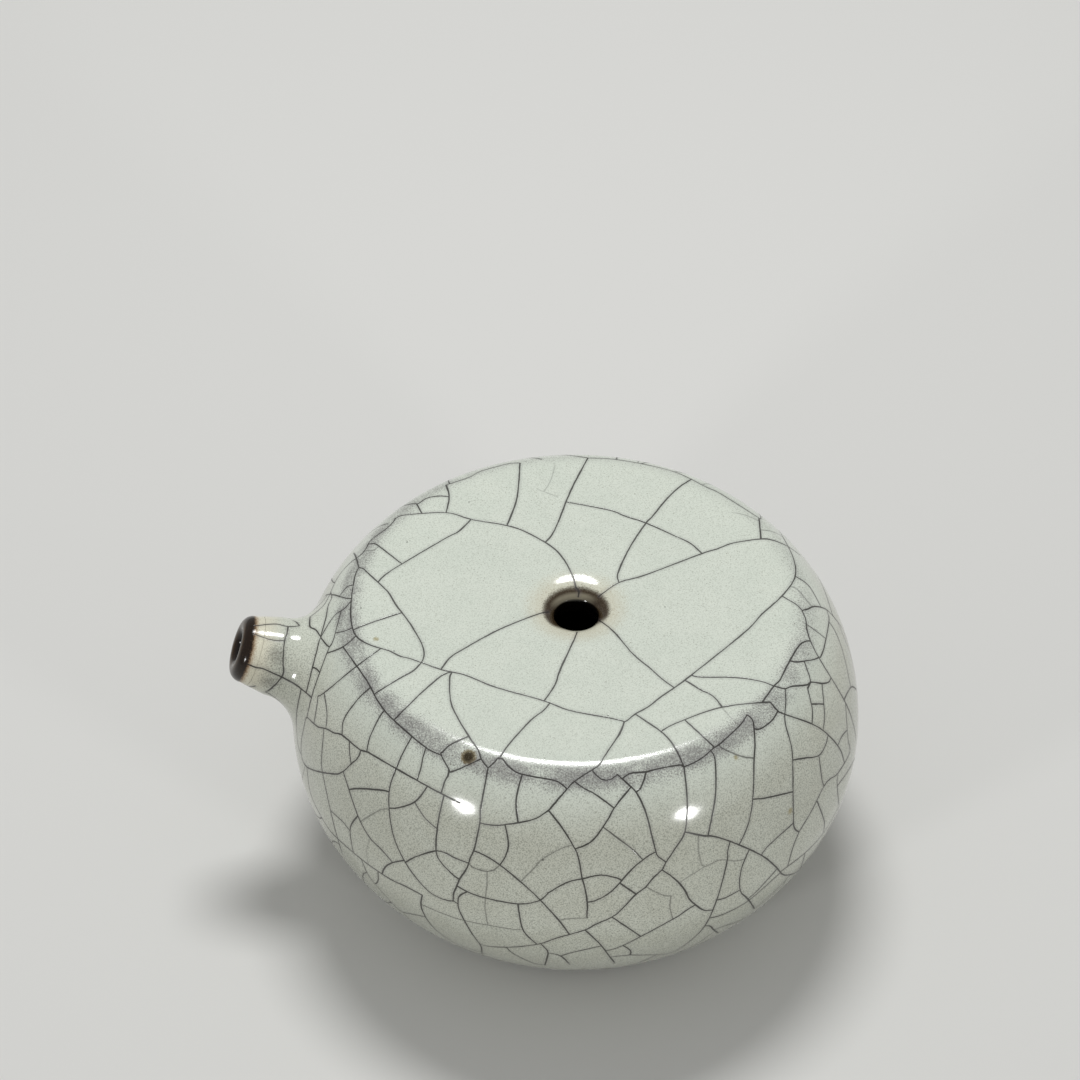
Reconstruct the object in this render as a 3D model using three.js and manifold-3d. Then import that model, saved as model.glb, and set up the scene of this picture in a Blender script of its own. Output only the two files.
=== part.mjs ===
// A scholar's water dropper: a low round vessel with a filling hole in its flat top and a short spout.
// Its clay is thrown in two halves and luted together at the widest line. The spout is luted over a hole
// pierced in the wall. One thick crackled glaze runs over all of it, down into the filling hole and up to
// the bare lip of the spout. It stops above the bare foot ring, and a second pool of it lies inside the ring.
//
// Millimetres, +Z up. The origin is on the ground, under the middle of the whole length, and the spout
// points to -X. Depths are measured inwards from the surface of the glaze, angles in degrees.

import * as THREE from 'three';
import { mergeVertices } from 'three/addons/utils/BufferGeometryUtils.js';
import Module from 'manifold-3d';

// Layers
const glazeThickness = 0.9;
const layerGap = 0.3; // from glaze to clay, and between the spout and the wall that it is luted to
const wallThickness = 3.2;
const floorThickness = 3;

// Body, measured over the glaze: arcs that follow on smoothly from the widest line
const bodyRadius = 43;
const waistRadius = 37; // upwards from the widest line
const waistEnd = 15;
const upperWallRadius = 27.1;
const upperWallEnd = 42;
const shoulderRadius = 6;
const bellyRadius = 23; // downwards from the widest line
const bellyEnd = 21;
const lowerWallRadius = 38.6;
const lowerWallEnd = 47;
const heelRadius = 20;
const heelEnd = 62;
const heelHeight = 1.3; // where the glaze stops, above the ground

// Filling hole: the top rolls down into it along a quarter of an ellipse
const throatRadius = 3.2;
const rollWidth = 6;
const rollDepth = 2.6;
const throatBevel = 0.4;

// Foot ring, turned out of the lower half
const footSetIn = 1.6; // from the edge of the glaze to the outside of the ring
const footShoulder = 1.6; // height of the ring's outer wall
const footRingWidth = 4.4;
const footRecess = 2.2;
const footBevel = 0.5;
const footGlazeMargin = 0.9; // bare clay between the ring and the pool of glaze inside it

// Spout, measured over the glaze, along its own axis from the widest part of its lip
const spoutTilt = 20;
const spoutReach = 6.3; // from the widest line of the body out to the lip
const spoutRise = 13.7; // from the widest line up to the lip
const boreRadius = 1.9;
const lipRadius = 5.1;
const lipRound = 1.8;
const lipBand = 1.1; // bare clay behind the widest part of the lip
const tubeRadius = 6;
const tubeLength = 4; // from the lip back to where the root starts to flare
const rootRadius = 11.5; // where the flare runs out on the wall of the body
const rootSink = 0.5; // the flare runs out this deep in the wall, so that it meets it at a clean line
const pierceMargin = 0.7; // the hole in the wall is this much wider than the bore, all round

// Fineness
const bodyFacets = 60;
const spoutFacets = 36;
const arcStep = 9;
const tightStep = 18;
const flareSteps = 6;

const clayDepth = glazeThickness + layerGap;
const liningDepth = clayDepth + wallThickness;
const smallestRound = 0.2; // a round that the wall's thickness uses up keeps this radius

const radians = THREE.MathUtils.degToRad;
const wasm = await Module();
wasm.setup();

// Points of a round about a centre, as [radius, height], at equal steps
function round(centre, halfWidth, halfHeight, from, to, step) {
  const count = Math.ceil(Math.abs(to - from) / step);
  return Array.from({ length: count + 1 }, (_, i) => {
    const angle = radians(from + ((to - from) * i) / count);
    return [centre[0] + halfWidth * Math.cos(angle), centre[1] + halfHeight * Math.sin(angle)];
  });
}

// A wall of smoothly joined arcs, from a level start outwards, going up (side 1) or down (side -1)
function wallOfArcs(arcs, side, startHeight, depth) {
  const points = [[bodyRadius - depth, startHeight]];
  let centre = [bodyRadius, startHeight];
  let lastRadius = 0;
  let angle = 0;
  for (const arc of arcs) {
    const shift = lastRadius - arc.radius;
    centre = [
      centre[0] + shift * Math.cos(radians(angle)),
      centre[1] + side * shift * Math.sin(radians(angle)),
    ];
    const size = Math.max(arc.radius - depth, smallestRound);
    const step = arc.radius < bodyRadius / 4 ? tightStep : arcStep;
    points.push(...round(centre, size, side * size, angle, arc.end, step).slice(1));
    lastRadius = arc.radius;
    angle = arc.end;
  }
  return points;
}

const upperArcs = [
  { radius: waistRadius, end: waistEnd },
  { radius: upperWallRadius, end: upperWallEnd },
  { radius: shoulderRadius, end: 90 },
];
const lowerArcs = [
  { radius: bellyRadius, end: bellyEnd },
  { radius: lowerWallRadius, end: lowerWallEnd },
  { radius: heelRadius, end: heelEnd },
];

const glazeEdge = wallOfArcs(lowerArcs, -1, 0, 0).at(-1);
const widestHeight = heelHeight - glazeEdge[1];
const upperWall = (depth) => wallOfArcs(upperArcs, 1, widestHeight, depth);
const lowerWall = (depth) => wallOfArcs(lowerArcs, -1, widestHeight, depth);

const topHeight = upperWall(0).at(-1)[1];
const undersideOfTop = topHeight - liningDepth;
const footRadius = glazeEdge[0] - footSetIn;
const footInnerRadius = footRadius - footRingWidth;
const floorHeight = footRecess + floorThickness;

// The roll from the flat top down into the filling hole
function mouthRoll(depth) {
  const centre = [throatRadius + rollWidth, topHeight - rollDepth];
  return round(centre, rollWidth - depth, rollDepth - depth, 90, 180, tightStep);
}

// A closed outline of [radius, height] points, turned into a mesh with shared corners
function turned(outline, facets) {
  const profile = [...outline, outline[0]].map(([radius, height]) => new THREE.Vector2(radius, height));
  const lathe = new THREE.LatheGeometry(profile, facets).rotateX(Math.PI / 2);
  lathe.deleteAttribute('normal');
  lathe.deleteAttribute('uv');
  const merged = mergeVertices(lathe);
  const corners = Array.from(merged.index.array);
  const triangles = Array.from({ length: corners.length / 3 }, (_, i) => corners.slice(3 * i, 3 * i + 3));
  merged.setIndex(triangles.filter(([a, b, c]) => a !== b && b !== c && c !== a).flat());
  return merged;
}

function toSolid(geometry) {
  const vertProperties = new Float32Array(geometry.attributes.position.array);
  const triVerts = new Uint32Array(geometry.index.array);
  return new wasm.Manifold(new wasm.Mesh({ numProp: 3, vertProperties, triVerts }));
}

function toGeometry(solid) {
  const { vertProperties, triVerts } = solid.getMesh();
  const geometry = new THREE.BufferGeometry();
  geometry.setAttribute('position', new THREE.BufferAttribute(vertProperties, 3));
  geometry.setIndex(new THREE.BufferAttribute(triVerts, 1));
  geometry.computeVertexNormals();
  return geometry;
}

const bodySolid = (outline) => toSolid(turned(outline, bodyFacets));

// The spout's own frame: its axis is tilted, and starts at the widest part of the lip
const spoutPlace = new THREE.Matrix4()
  .makeTranslation(-bodyRadius - spoutReach, 0, widestHeight + spoutRise)
  .multiply(new THREE.Matrix4().makeRotationY(radians(spoutTilt - 90)));
const spoutSolid = (outline) => toSolid(turned(outline, spoutFacets).applyMatrix4(spoutPlace));

const rootEnd = -(spoutReach + rootRadius + liningDepth); // inside the chamber, past its wall

// The body's radius at a height, at a depth under the glaze
function bodyRadiusAt(height, depth) {
  const wall = [...lowerWall(depth).reverse(), ...upperWall(depth)];
  const above = wall.findIndex((point) => point[1] >= height && point[1] > wall[0][1]);
  if (above < 1) return 0;
  const [low, high] = [wall[above - 1], wall[above]];
  return THREE.MathUtils.mapLinear(height, low[1], high[1], low[0], high[0]);
}

// Where a line along the spout, beside its axis, comes to the body's wall at a depth
function placeOnWall(radius, azimuth, depth) {
  let [outside, inside] = [0, rootEnd];
  for (let halving = 0; halving < 40; halving += 1) {
    const place = (outside + inside) / 2;
    const point = new THREE.Vector3(radius * Math.cos(azimuth), radius * Math.sin(azimuth), place);
    point.applyMatrix4(spoutPlace);
    const isOutside = Math.hypot(point.x, point.y) > bodyRadiusAt(point.z, depth);
    [outside, inside] = isOutside ? [place, inside] : [outside, place];
  }
  return outside;
}

// The flared root at one azimuth: it leaves the wall along the wall and joins the tube along the tube
function flare(azimuth, depth) {
  const sunk = depth + rootSink;
  const tube = tubeRadius - depth;
  const corner = new THREE.Vector2(tube, placeOnWall(tube, azimuth, sunk));
  const onWall = new THREE.Vector2(rootRadius, placeOnWall(rootRadius, azimuth, sunk));
  const onTube = new THREE.Vector2(tube, -tubeLength);
  return new THREE.QuadraticBezierCurve(onWall, corner, onTube).getPoints(flareSteps).map(({ x, y }) => [x, y]);
}

// A solid along the spout's axis, out of one path of [radius, place] points for each azimuth
function lofted(pathAt) {
  const paths = Array.from({ length: spoutFacets }, (_, k) => pathAt((2 * Math.PI * k) / spoutFacets));
  const rows = paths[0].length;
  const corners = paths.flatMap((path, k) => {
    const azimuth = (2 * Math.PI * k) / spoutFacets;
    return path.map(([radius, place]) => [radius * Math.cos(azimuth), radius * Math.sin(azimuth), place]);
  });
  corners.push([0, 0, paths[0][0][1]], [0, 0, paths[0][rows - 1][1]]);
  const [innerEnd, frontEnd] = [corners.length - 2, corners.length - 1];
  const triangles = [];
  for (let k = 0; k < spoutFacets; k += 1) {
    const here = k * rows;
    const next = ((k + 1) % spoutFacets) * rows;
    triangles.push(innerEnd, next, here, frontEnd, here + rows - 1, next + rows - 1);
    for (let row = 0; row < rows - 1; row += 1) {
      triangles.push(here + row, next + row, next + row + 1, here + row, next + row + 1, here + row + 1);
    }
  }
  const geometry = new THREE.BufferGeometry();
  geometry.setAttribute('position', new THREE.Float32BufferAttribute(corners.flat(), 3));
  geometry.setIndex(triangles);
  return toSolid(geometry.applyMatrix4(spoutPlace));
}

// The radius of the tapered tube at a place behind the lip
function tubeRadiusAt(place) {
  return THREE.MathUtils.lerp(lipRadius, tubeRadius, -place / tubeLength);
}

// Everything inside the body's surface at a depth, with the filling hole closed
function bodyCore(depth) {
  const lower = lowerWall(depth).reverse();
  const upper = upperWall(depth).slice(1);
  return bodySolid([[0, lower[0][1]], ...lower, ...upper, [0, upper.at(-1)[1]]]);
}

// Everything inside the spout's surface at a depth, from inside the chamber out to the front points
function spoutCore(depth, front) {
  return lofted((azimuth) => [[rootRadius, rootEnd], ...flare(azimuth, depth), ...front]);
}

// The thrown dome of the body, from the luted seam to the filling hole, pierced behind the spout
function upperBody() {
  const shell = bodySolid([
    ...upperWall(clayDepth),
    ...mouthRoll(clayDepth),
    [throatRadius + clayDepth, undersideOfTop + throatBevel],
    [throatRadius + clayDepth + throatBevel, undersideOfTop],
    ...upperWall(liningDepth).reverse(),
  ]);
  const pierced = boreRadius + pierceMargin;
  return shell.subtract(spoutSolid([[0, rootEnd], [pierced, rootEnd], [pierced, 0], [0, 0]]));
}

// The thrown bowl of the body, with its floor and its turned foot ring
function lowerBody() {
  const lining = lowerWall(liningDepth).filter(([, height]) => height > floorHeight);
  return bodySolid([
    [footInnerRadius + footBevel, 0],
    [footRadius - footBevel, 0],
    [footRadius, footBevel],
    [footRadius, footShoulder],
    ...lowerWall(clayDepth).reverse(),
    ...lining,
    [lining.at(-1)[0], floorHeight],
    [0, floorHeight],
    [0, footRecess],
    [footInnerRadius - footBevel, footRecess],
    [footInnerRadius, footRecess - footBevel],
    [footInnerRadius, footBevel],
  ]);
}

// The passage for the water, which opens out over the rounded lip
function bore() {
  const mouthRound = lipRadius - lipRound - boreRadius;
  const mouth = round([boreRadius + mouthRound, lipRound - mouthRound], mouthRound, mouthRound, 180, 90, tightStep);
  const past = lipRound + mouthRound;
  return spoutSolid([[0, rootEnd], [boreRadius, rootEnd], ...mouth, [mouth.at(-1)[0], past], [0, past]]);
}

// The spout's clay: bare rounded lip, a rebate where the glaze starts, tube, flared root and bore
function spout() {
  const bandEnd = -lipBand;
  const front = [
    [tubeRadiusAt(bandEnd) - clayDepth, bandEnd],
    [tubeRadiusAt(bandEnd), bandEnd],
    ...round([lipRadius - lipRound, 0], lipRound, lipRound, 0, 90, tightStep),
  ];
  return spoutCore(clayDepth, front).subtract(bore()).subtract(bodyCore(glazeThickness));
}

// The glaze over the body, from above the foot ring to the bottom of the filling hole's throat
function bodyGlaze() {
  const throatEnd = undersideOfTop + throatBevel;
  return bodySolid([
    ...lowerWall(0).reverse(),
    ...upperWall(0).slice(1),
    ...mouthRoll(0),
    [throatRadius, throatEnd],
    [throatRadius + glazeThickness, throatEnd],
    ...mouthRoll(glazeThickness).reverse(),
    ...upperWall(glazeThickness).reverse(),
    ...lowerWall(glazeThickness).slice(1),
  ]);
}

// One continuous coat: the part on the body and the part on the spout, each opened where the other passes
function outerGlaze() {
  const edge = -(lipBand + layerGap);
  const spoutOutside = spoutCore(0, [[tubeRadiusAt(edge), edge]]);
  const spoutInside = spoutCore(glazeThickness, [[tubeRadiusAt(0) - glazeThickness, 0]]);
  const onSpout = spoutOutside.subtract(bodyCore(glazeThickness));
  return bodyGlaze().add(onSpout).subtract(spoutInside);
}

// The pool of glaze inside the foot ring
function footGlaze() {
  const back = footRecess - layerGap;
  const face = back - glazeThickness;
  const edge = footInnerRadius - footGlazeMargin;
  return bodySolid([[0, face], [edge - footBevel, face], [edge, face + footBevel], [edge, back], [0, back]]);
}

function finish(colour, roughness) {
  return new THREE.MeshStandardMaterial({ color: colour, roughness, metalness: 0 });
}

const crackledGlaze = () => finish('#cdd4c8', 0.15);
const bareClay = () => finish('#5a4636', 0.8);
const brownLip = () => finish('#2c1a10', 0.35);

function piece(name, solid, material) {
  const mesh = new THREE.Mesh(toGeometry(solid), material);
  mesh.name = name;
  return mesh;
}

// The body's axis stands off the origin, so that the whole length is centred on it
const tipReach = bodyRadius + spoutReach + (lipRadius - lipRound) * Math.sin(radians(spoutTilt)) + lipRound;
const vessel = new THREE.Group();
vessel.position.x = (tipReach - bodyRadius) / 2;
vessel.add(
  piece('lower_body', lowerBody(), bareClay()),
  piece('upper_body', upperBody(), bareClay()),
  piece('spout', spout(), brownLip()),
  piece('outer_glaze', outerGlaze(), crackledGlaze()),
  piece('foot_glaze', footGlaze(), crackledGlaze()),
);

const waterDropper = new THREE.Group();
waterDropper.add(vessel);

export default waterDropper;
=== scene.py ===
"""A scholar's water dropper in crackled grey-green glaze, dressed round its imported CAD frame.

The vessel is thrown stoneware under one thick glaze. The glaze is the look of it: a milky celadon that
crackled as it cooled, thin and violet-grey over the shoulder, stained brown round the filling hole, and
burnt from amber to near black at the bare lip of the spout.

Sizes are in millimetres and degrees, in the frame of the CAD part, and meshes are made at that size and
brought to metres when they are finished.
"""

import logging
import math
import random
from collections.abc import Callable, Iterable, Sequence
from dataclasses import dataclass, field
from enum import Enum
from functools import cached_property
from itertools import pairwise
from typing import ClassVar

import bmesh
import bpy
import numpy as np
from mathutils import Matrix, Vector
from mathutils.bvhtree import BVHTree
from mathutils.kdtree import KDTree


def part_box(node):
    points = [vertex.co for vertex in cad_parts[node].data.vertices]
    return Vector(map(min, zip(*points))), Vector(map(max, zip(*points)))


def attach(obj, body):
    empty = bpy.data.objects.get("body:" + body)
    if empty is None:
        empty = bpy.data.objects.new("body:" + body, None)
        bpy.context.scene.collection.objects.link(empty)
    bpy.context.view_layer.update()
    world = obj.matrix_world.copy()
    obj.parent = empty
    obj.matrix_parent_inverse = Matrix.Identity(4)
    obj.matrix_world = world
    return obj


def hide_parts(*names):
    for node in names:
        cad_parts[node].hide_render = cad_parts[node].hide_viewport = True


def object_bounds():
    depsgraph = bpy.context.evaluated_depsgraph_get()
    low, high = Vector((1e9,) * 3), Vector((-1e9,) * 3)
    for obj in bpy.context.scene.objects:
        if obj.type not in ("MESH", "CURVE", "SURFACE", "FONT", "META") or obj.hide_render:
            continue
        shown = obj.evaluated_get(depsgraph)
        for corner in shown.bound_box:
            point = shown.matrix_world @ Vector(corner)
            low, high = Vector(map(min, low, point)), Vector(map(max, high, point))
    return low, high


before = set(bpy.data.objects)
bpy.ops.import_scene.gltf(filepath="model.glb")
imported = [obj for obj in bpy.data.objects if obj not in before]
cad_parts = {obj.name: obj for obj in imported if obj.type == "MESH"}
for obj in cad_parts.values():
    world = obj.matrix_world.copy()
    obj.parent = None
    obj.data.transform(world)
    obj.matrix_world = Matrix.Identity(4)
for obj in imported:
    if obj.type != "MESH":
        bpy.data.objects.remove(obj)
cad_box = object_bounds()

log = logging.getLogger("water_dropper")

MM = 0.001
BODY = "root"

# How near two points of a mesh count as one, how near a point counts as on a line of the form, and the
# shortest length that anything is divided by.
WELD = 0.002
ON_LINE = 0.02
SHORTEST = 1e-6

Point2 = tuple[float, float]
Pixel = tuple[float, float]
Row = Callable[[float], Point2]
Socket = bpy.types.NodeSocket


class Slot(Enum):
    """The material slots."""

    GLAZE = "crackled_glaze"
    CLAY = "stoneware_body"
    LIP = "iron_brown_lip"


# Shape


@dataclass(frozen=True)
class Arc:
    """One round of a wall, from where the last one ends to its own end angle."""

    radius: float
    end: float


@dataclass(frozen=True)
class VesselForm:
    """The sizes of the vessel over its glaze, the same as the CAD part's."""

    glaze_thickness: float = 0.9
    body_radius: float = 43.0
    upper_arcs: tuple[Arc, ...] = (Arc(37.0, 15.0), Arc(27.1, 42.0), Arc(6.0, 90.0))
    lower_arcs: tuple[Arc, ...] = (Arc(23.0, 21.0), Arc(38.6, 47.0), Arc(20.0, 62.0))
    heel_height: float = 1.3
    throat_radius: float = 3.2
    throat_end: float = 4.0
    roll_width: float = 6.0
    roll_depth: float = 2.6
    spout_tilt: float = 20.0
    spout_reach: float = 6.3
    spout_rise: float = 13.7
    bore_radius: float = 1.9
    lip_radius: float = 5.1
    lip_round: float = 1.8
    lip_band: float = 1.1
    tube_radius: float = 6.0
    tube_length: float = 4.0
    root_radius: float = 11.5
    lip_swell: float = 0.1
    lip_steps: int = 10
    wall_step: float = 0.9
    tight_step: float = 0.45
    tight_radius: float = 10.75

    def wall(self, arcs: tuple[Arc, ...], side: int, depth: float = 0.0) -> list[Point2]:
        """Points of a wall made of smoothly joined arcs, from the widest line up or down.

        Args:
            arcs: The rounds in order, from the widest line.
            side: 1 for upwards, -1 for downwards.
            depth: How far under the glaze's surface the wall lies.

        Returns:
            Radius and height of each point, with the widest line at height 0.
        """
        points = [(self.body_radius - depth, 0.0)]
        centre, last_radius, angle = Vector((self.body_radius, 0.0)), 0.0, 0.0
        for arc in arcs:
            turn = math.radians(angle)
            centre += (last_radius - arc.radius) * Vector((math.cos(turn), side * math.sin(turn)))
            step = self.tight_step if arc.radius < self.tight_radius else self.wall_step
            count = math.ceil(math.radians(arc.end - angle) * arc.radius / step)
            for i in range(1, count + 1):
                a = math.radians(angle + (arc.end - angle) * i / count)
                reach = arc.radius - depth
                points.append((centre.x + reach * math.cos(a), centre.y + side * reach * math.sin(a)))
            last_radius, angle = arc.radius, arc.end
        return points

    @cached_property
    def widest_height(self) -> float:
        """Height of the widest line above the ground."""
        return self.heel_height - self.wall(self.lower_arcs, -1)[-1][1]

    @cached_property
    def top_height(self) -> float:
        """Height of the flat top."""
        return self.widest_height + self.wall(self.upper_arcs, 1)[-1][1]

    def upper_wall(self, depth: float = 0.0) -> list[Point2]:
        """Radius and height of points from the widest line to the edge of the flat top."""
        return [(r, self.widest_height + z) for r, z in self.wall(self.upper_arcs, 1, depth)]

    def lower_wall(self, depth: float = 0.0) -> list[Point2]:
        """Radius and height of points from the widest line down to the edge of the glaze."""
        return [(r, self.widest_height + z) for r, z in self.wall(self.lower_arcs, -1, depth)]

    def mouth_roll(self, depth: float = 0.0) -> list[Point2]:
        """Radius and height of points where the top rolls down into the filling hole."""
        count = round((self.roll_width + self.roll_depth) / self.tight_step)
        centre = (self.throat_radius + self.roll_width, self.top_height - self.roll_depth)
        angles = [math.pi / 2 * (1 + i / count) for i in range(count + 1)]
        return [
            (
                centre[0] + (self.roll_width - depth) * math.cos(a),
                centre[1] + (self.roll_depth - depth) * math.sin(a),
            )
            for a in angles
        ]

    @cached_property
    def axis_x(self) -> float:
        """Where the body's axis stands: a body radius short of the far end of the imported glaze."""
        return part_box("outer_glaze")[1].x / MM - self.body_radius

    @cached_property
    def spout_place(self) -> Matrix:
        """The spout's own frame: its axis is local Z, and starts at the widest part of its lip."""
        x = self.axis_x - self.body_radius - self.spout_reach
        tilt = Matrix.Rotation(math.radians(self.spout_tilt - 90.0), 4, "Y")
        return Matrix.Translation((x, 0.0, self.widest_height + self.spout_rise)) @ tilt

    def lip_section(self, corner: float) -> list[Point2]:
        """Radius and place of the lip's outline, from the edge of the coat over its round into the mouth."""
        band = self.tube_radius_at(-self.lip_band)
        section = [(band, -self.lip_band + corner), (self.lip_radius + self.lip_swell, -self.lip_band / 2)]
        mouth_round = self.lip_radius - self.lip_round - self.bore_radius
        centre = self.lip_radius - self.lip_round
        outer, inner = (self.lip_round, 0.0), (mouth_round, self.lip_round - mouth_round)
        for i in range(2 * self.lip_steps + 1):
            angle = math.pi * i / (2 * self.lip_steps)
            radius, start = outer if i <= self.lip_steps else inner
            section.append((centre + radius * math.cos(angle), start + radius * math.sin(angle)))
        return section

    def is_on(self, point: Vector, line: Point2) -> bool:
        """Tells whether a point lies on a line round the body, given by its radius and height."""
        radius = math.hypot(point.x - self.axis_x, point.y)
        return abs(radius - line[0]) < ON_LINE and abs(point.z - line[1]) < ON_LINE

    def tube_radius_at(self, place: float) -> float:
        """Radius of the tapered tube at a place behind the lip."""
        return self.lip_radius + (self.tube_radius - self.lip_radius) * -place / self.tube_length


class SpoutRoot:
    """The flared root of the spout: it leaves the wall along the wall and joins the tube along the tube."""

    halvings: ClassVar[int] = 30
    slope_step: ClassVar[float] = 1.0

    def __init__(self, form: VesselForm) -> None:
        """Takes the vessel's sizes."""
        self.form = form
        self.to_row = form.spout_place
        self.from_row = form.spout_place.inverted()
        self.rear = -(form.spout_reach + form.root_radius + 2 * form.glaze_thickness)
        self.walls: dict[float, tuple[np.ndarray, np.ndarray]] = {}
        self.curves: dict[tuple[float, float], tuple[Vector, Vector, Vector]] = {}

    def wall_radius_at(self, height: float, depth: float) -> float:
        """The body's radius at a height, at a depth under its glaze."""
        if depth not in self.walls:
            wall = self.form.lower_wall(depth)[::-1] + self.form.upper_wall(depth)[1:]
            radii, heights = np.array(wall).T
            self.walls[depth] = (heights, radii)
        heights, radii = self.walls[depth]
        return float(np.interp(height, heights, radii))

    def place_on_wall(self, radius: float, azimuth: float, depth: float = 0.0) -> float:
        """Where a line along the spout, beside its axis, comes to the wall.

        Args:
            radius: How far the line lies from the spout's axis.
            azimuth: On which side of the axis, in radians.
            depth: How far under the glaze's surface the wall lies.

        Returns:
            The place along the spout's axis.
        """
        outside, inside = 0.0, self.rear
        for _ in range(self.halvings):
            place = (outside + inside) / 2
            point = self.to_row @ Vector((radius * math.cos(azimuth), radius * math.sin(azimuth), place))
            reach = math.hypot(point.x - self.form.axis_x, point.y)
            if reach > self.wall_radius_at(point.z, depth):
                outside = place
            else:
                inside = place
        return outside

    def flare(self, azimuth: float, share: float, depth: float = 0.0) -> Point2:
        """A point of the flare at one azimuth.

        Args:
            azimuth: Which side of the spout, in radians.
            share: 0 on the wall, 1 on the tube.
            depth: How far under the glaze's surface the flare lies.

        Returns:
            The distance from the spout's axis and the place along it.
        """
        form = self.form
        key = (round(azimuth, 4), depth)
        if key not in self.curves:
            tube = form.tube_radius - depth
            edge = self.place_on_wall(form.root_radius, azimuth, depth)
            within = self.place_on_wall(form.root_radius - self.slope_step, azimuth, depth)
            corner = Vector((tube, edge + (within - edge) / self.slope_step * (form.root_radius - tube)))
            self.curves[key] = (Vector((form.root_radius, edge)), corner, Vector((tube, -form.tube_length)))
        on_wall, corner, on_tube = self.curves[key]
        here = on_wall * (1 - share) ** 2 + corner * 2 * share * (1 - share) + on_tube * share**2
        return here.x, here.y


# Meshes


def chain(bm: bmesh.types.BMesh, points: Sequence[Point2], closed: bool = False) -> list:
    """Puts a profile of radius and height into a bmesh, in the plane of X and Z.

    Args:
        bm: The bmesh.
        points: Radius and height of each corner.
        closed: True joins the last corner to the first.

    Returns:
        The profile's vertices and edges.
    """
    verts = [bm.verts.new((radius, 0.0, height)) for radius, height in points]
    pairs = list(pairwise(verts)) + ([(verts[-1], verts[0])] if closed else [])
    return verts + [bm.edges.new(pair) for pair in pairs]


def turn_about_axis(bm: bmesh.types.BMesh, profile: list, steps: int, axis_x: float) -> None:
    """Spins a profile all the way round the body's axis and closes its poles."""
    bmesh.ops.spin(
        bm, geom=profile, cent=(0, 0, 0), axis=(0, 0, 1), dvec=(0, 0, 0), angle=2 * math.pi, steps=steps,
        use_merge=True, use_normal_flip=False, use_duplicate=False,
    )
    bmesh.ops.remove_doubles(bm, verts=bm.verts[:], dist=WELD)
    bmesh.ops.translate(bm, verts=bm.verts[:], vec=(axis_x, 0, 0))


def settle(root: SpoutRoot, edges: list, row: Row) -> list:
    """Moves a ring's corners onto their row and returns its edges."""
    for vert in dict.fromkeys(vert for edge in edges for vert in edge.verts):
        local = root.from_row @ vert.co
        azimuth = math.atan2(local.y, local.x)
        radius, place = row(azimuth)
        vert.co = root.to_row @ Vector((radius * math.cos(azimuth), radius * math.sin(azimuth), place))
    return edges


def more_rings(bm: bmesh.types.BMesh, root: SpoutRoot, last: list, rows: Iterable[Row]) -> list[list]:
    """Extrudes a ring further, a row at a time, and returns the edges of each new ring."""
    made = []
    for row in rows:
        grown = bmesh.ops.extrude_edge_only(bm, edges=last)["geom"]
        rim = [e for e in grown if isinstance(e, bmesh.types.BMEdge) and len(e.link_faces) == 1]
        last = settle(root, rim, row)
        made.append(last)
    return made


def rings(
    bm: bmesh.types.BMesh, root: SpoutRoot, rows: Sequence[Row], sides: int, closed: bool
) -> list[list]:
    """Extrudes a ring row by row along the spout.

    Args:
        bm: The bmesh.
        root: Gives the spout's frame.
        rows: For each row, the distance from the axis and the place along it at an azimuth.
        sides: Corners of each ring.
        closed: True bridges the last row back to the first.

    Returns:
        The edges of each ring.
    """
    start = bmesh.ops.create_circle(bm, segments=sides, radius=1.0, cap_ends=False, matrix=root.to_row)
    first = list(dict.fromkeys(edge for vert in start["verts"] for edge in vert.link_edges))
    made = [settle(root, first, rows[0])]
    made += more_rings(bm, root, made[-1], rows[1:])
    if closed:
        bmesh.ops.bridge_loops(bm, edges=made[0] + made[-1])
    return made


def finished(
    bm: bmesh.types.BMesh, name: str, slot: Slot, stands_for: str, sharp: float = 38.0
) -> bpy.types.Object:
    """Brings a bmesh to metres and makes it a piece that rides on the body.

    Args:
        bm: The bmesh, in millimetres. It is freed.
        name: The piece's name.
        slot: Not used.
        stands_for: The CAD node that it replaces.
        sharp: The angle, in degrees, past which an edge shows as an edge.

    Returns:
        The piece.
    """
    bmesh.ops.scale(bm, vec=(MM, MM, MM), verts=bm.verts[:])
    mesh = bpy.data.meshes.new(name)
    bm.to_mesh(mesh)
    bm.free()
    mesh.shade_smooth()
    mesh.set_sharp_from_angle(angle=math.radians(sharp))
    piece = bpy.data.objects.new(name, mesh)
    bpy.context.scene.collection.objects.link(piece)
    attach(piece, BODY)
    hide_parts(stands_for)
    log.info("%s: %d faces, stands for %s", name, len(mesh.polygons), stands_for)
    return piece


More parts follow.
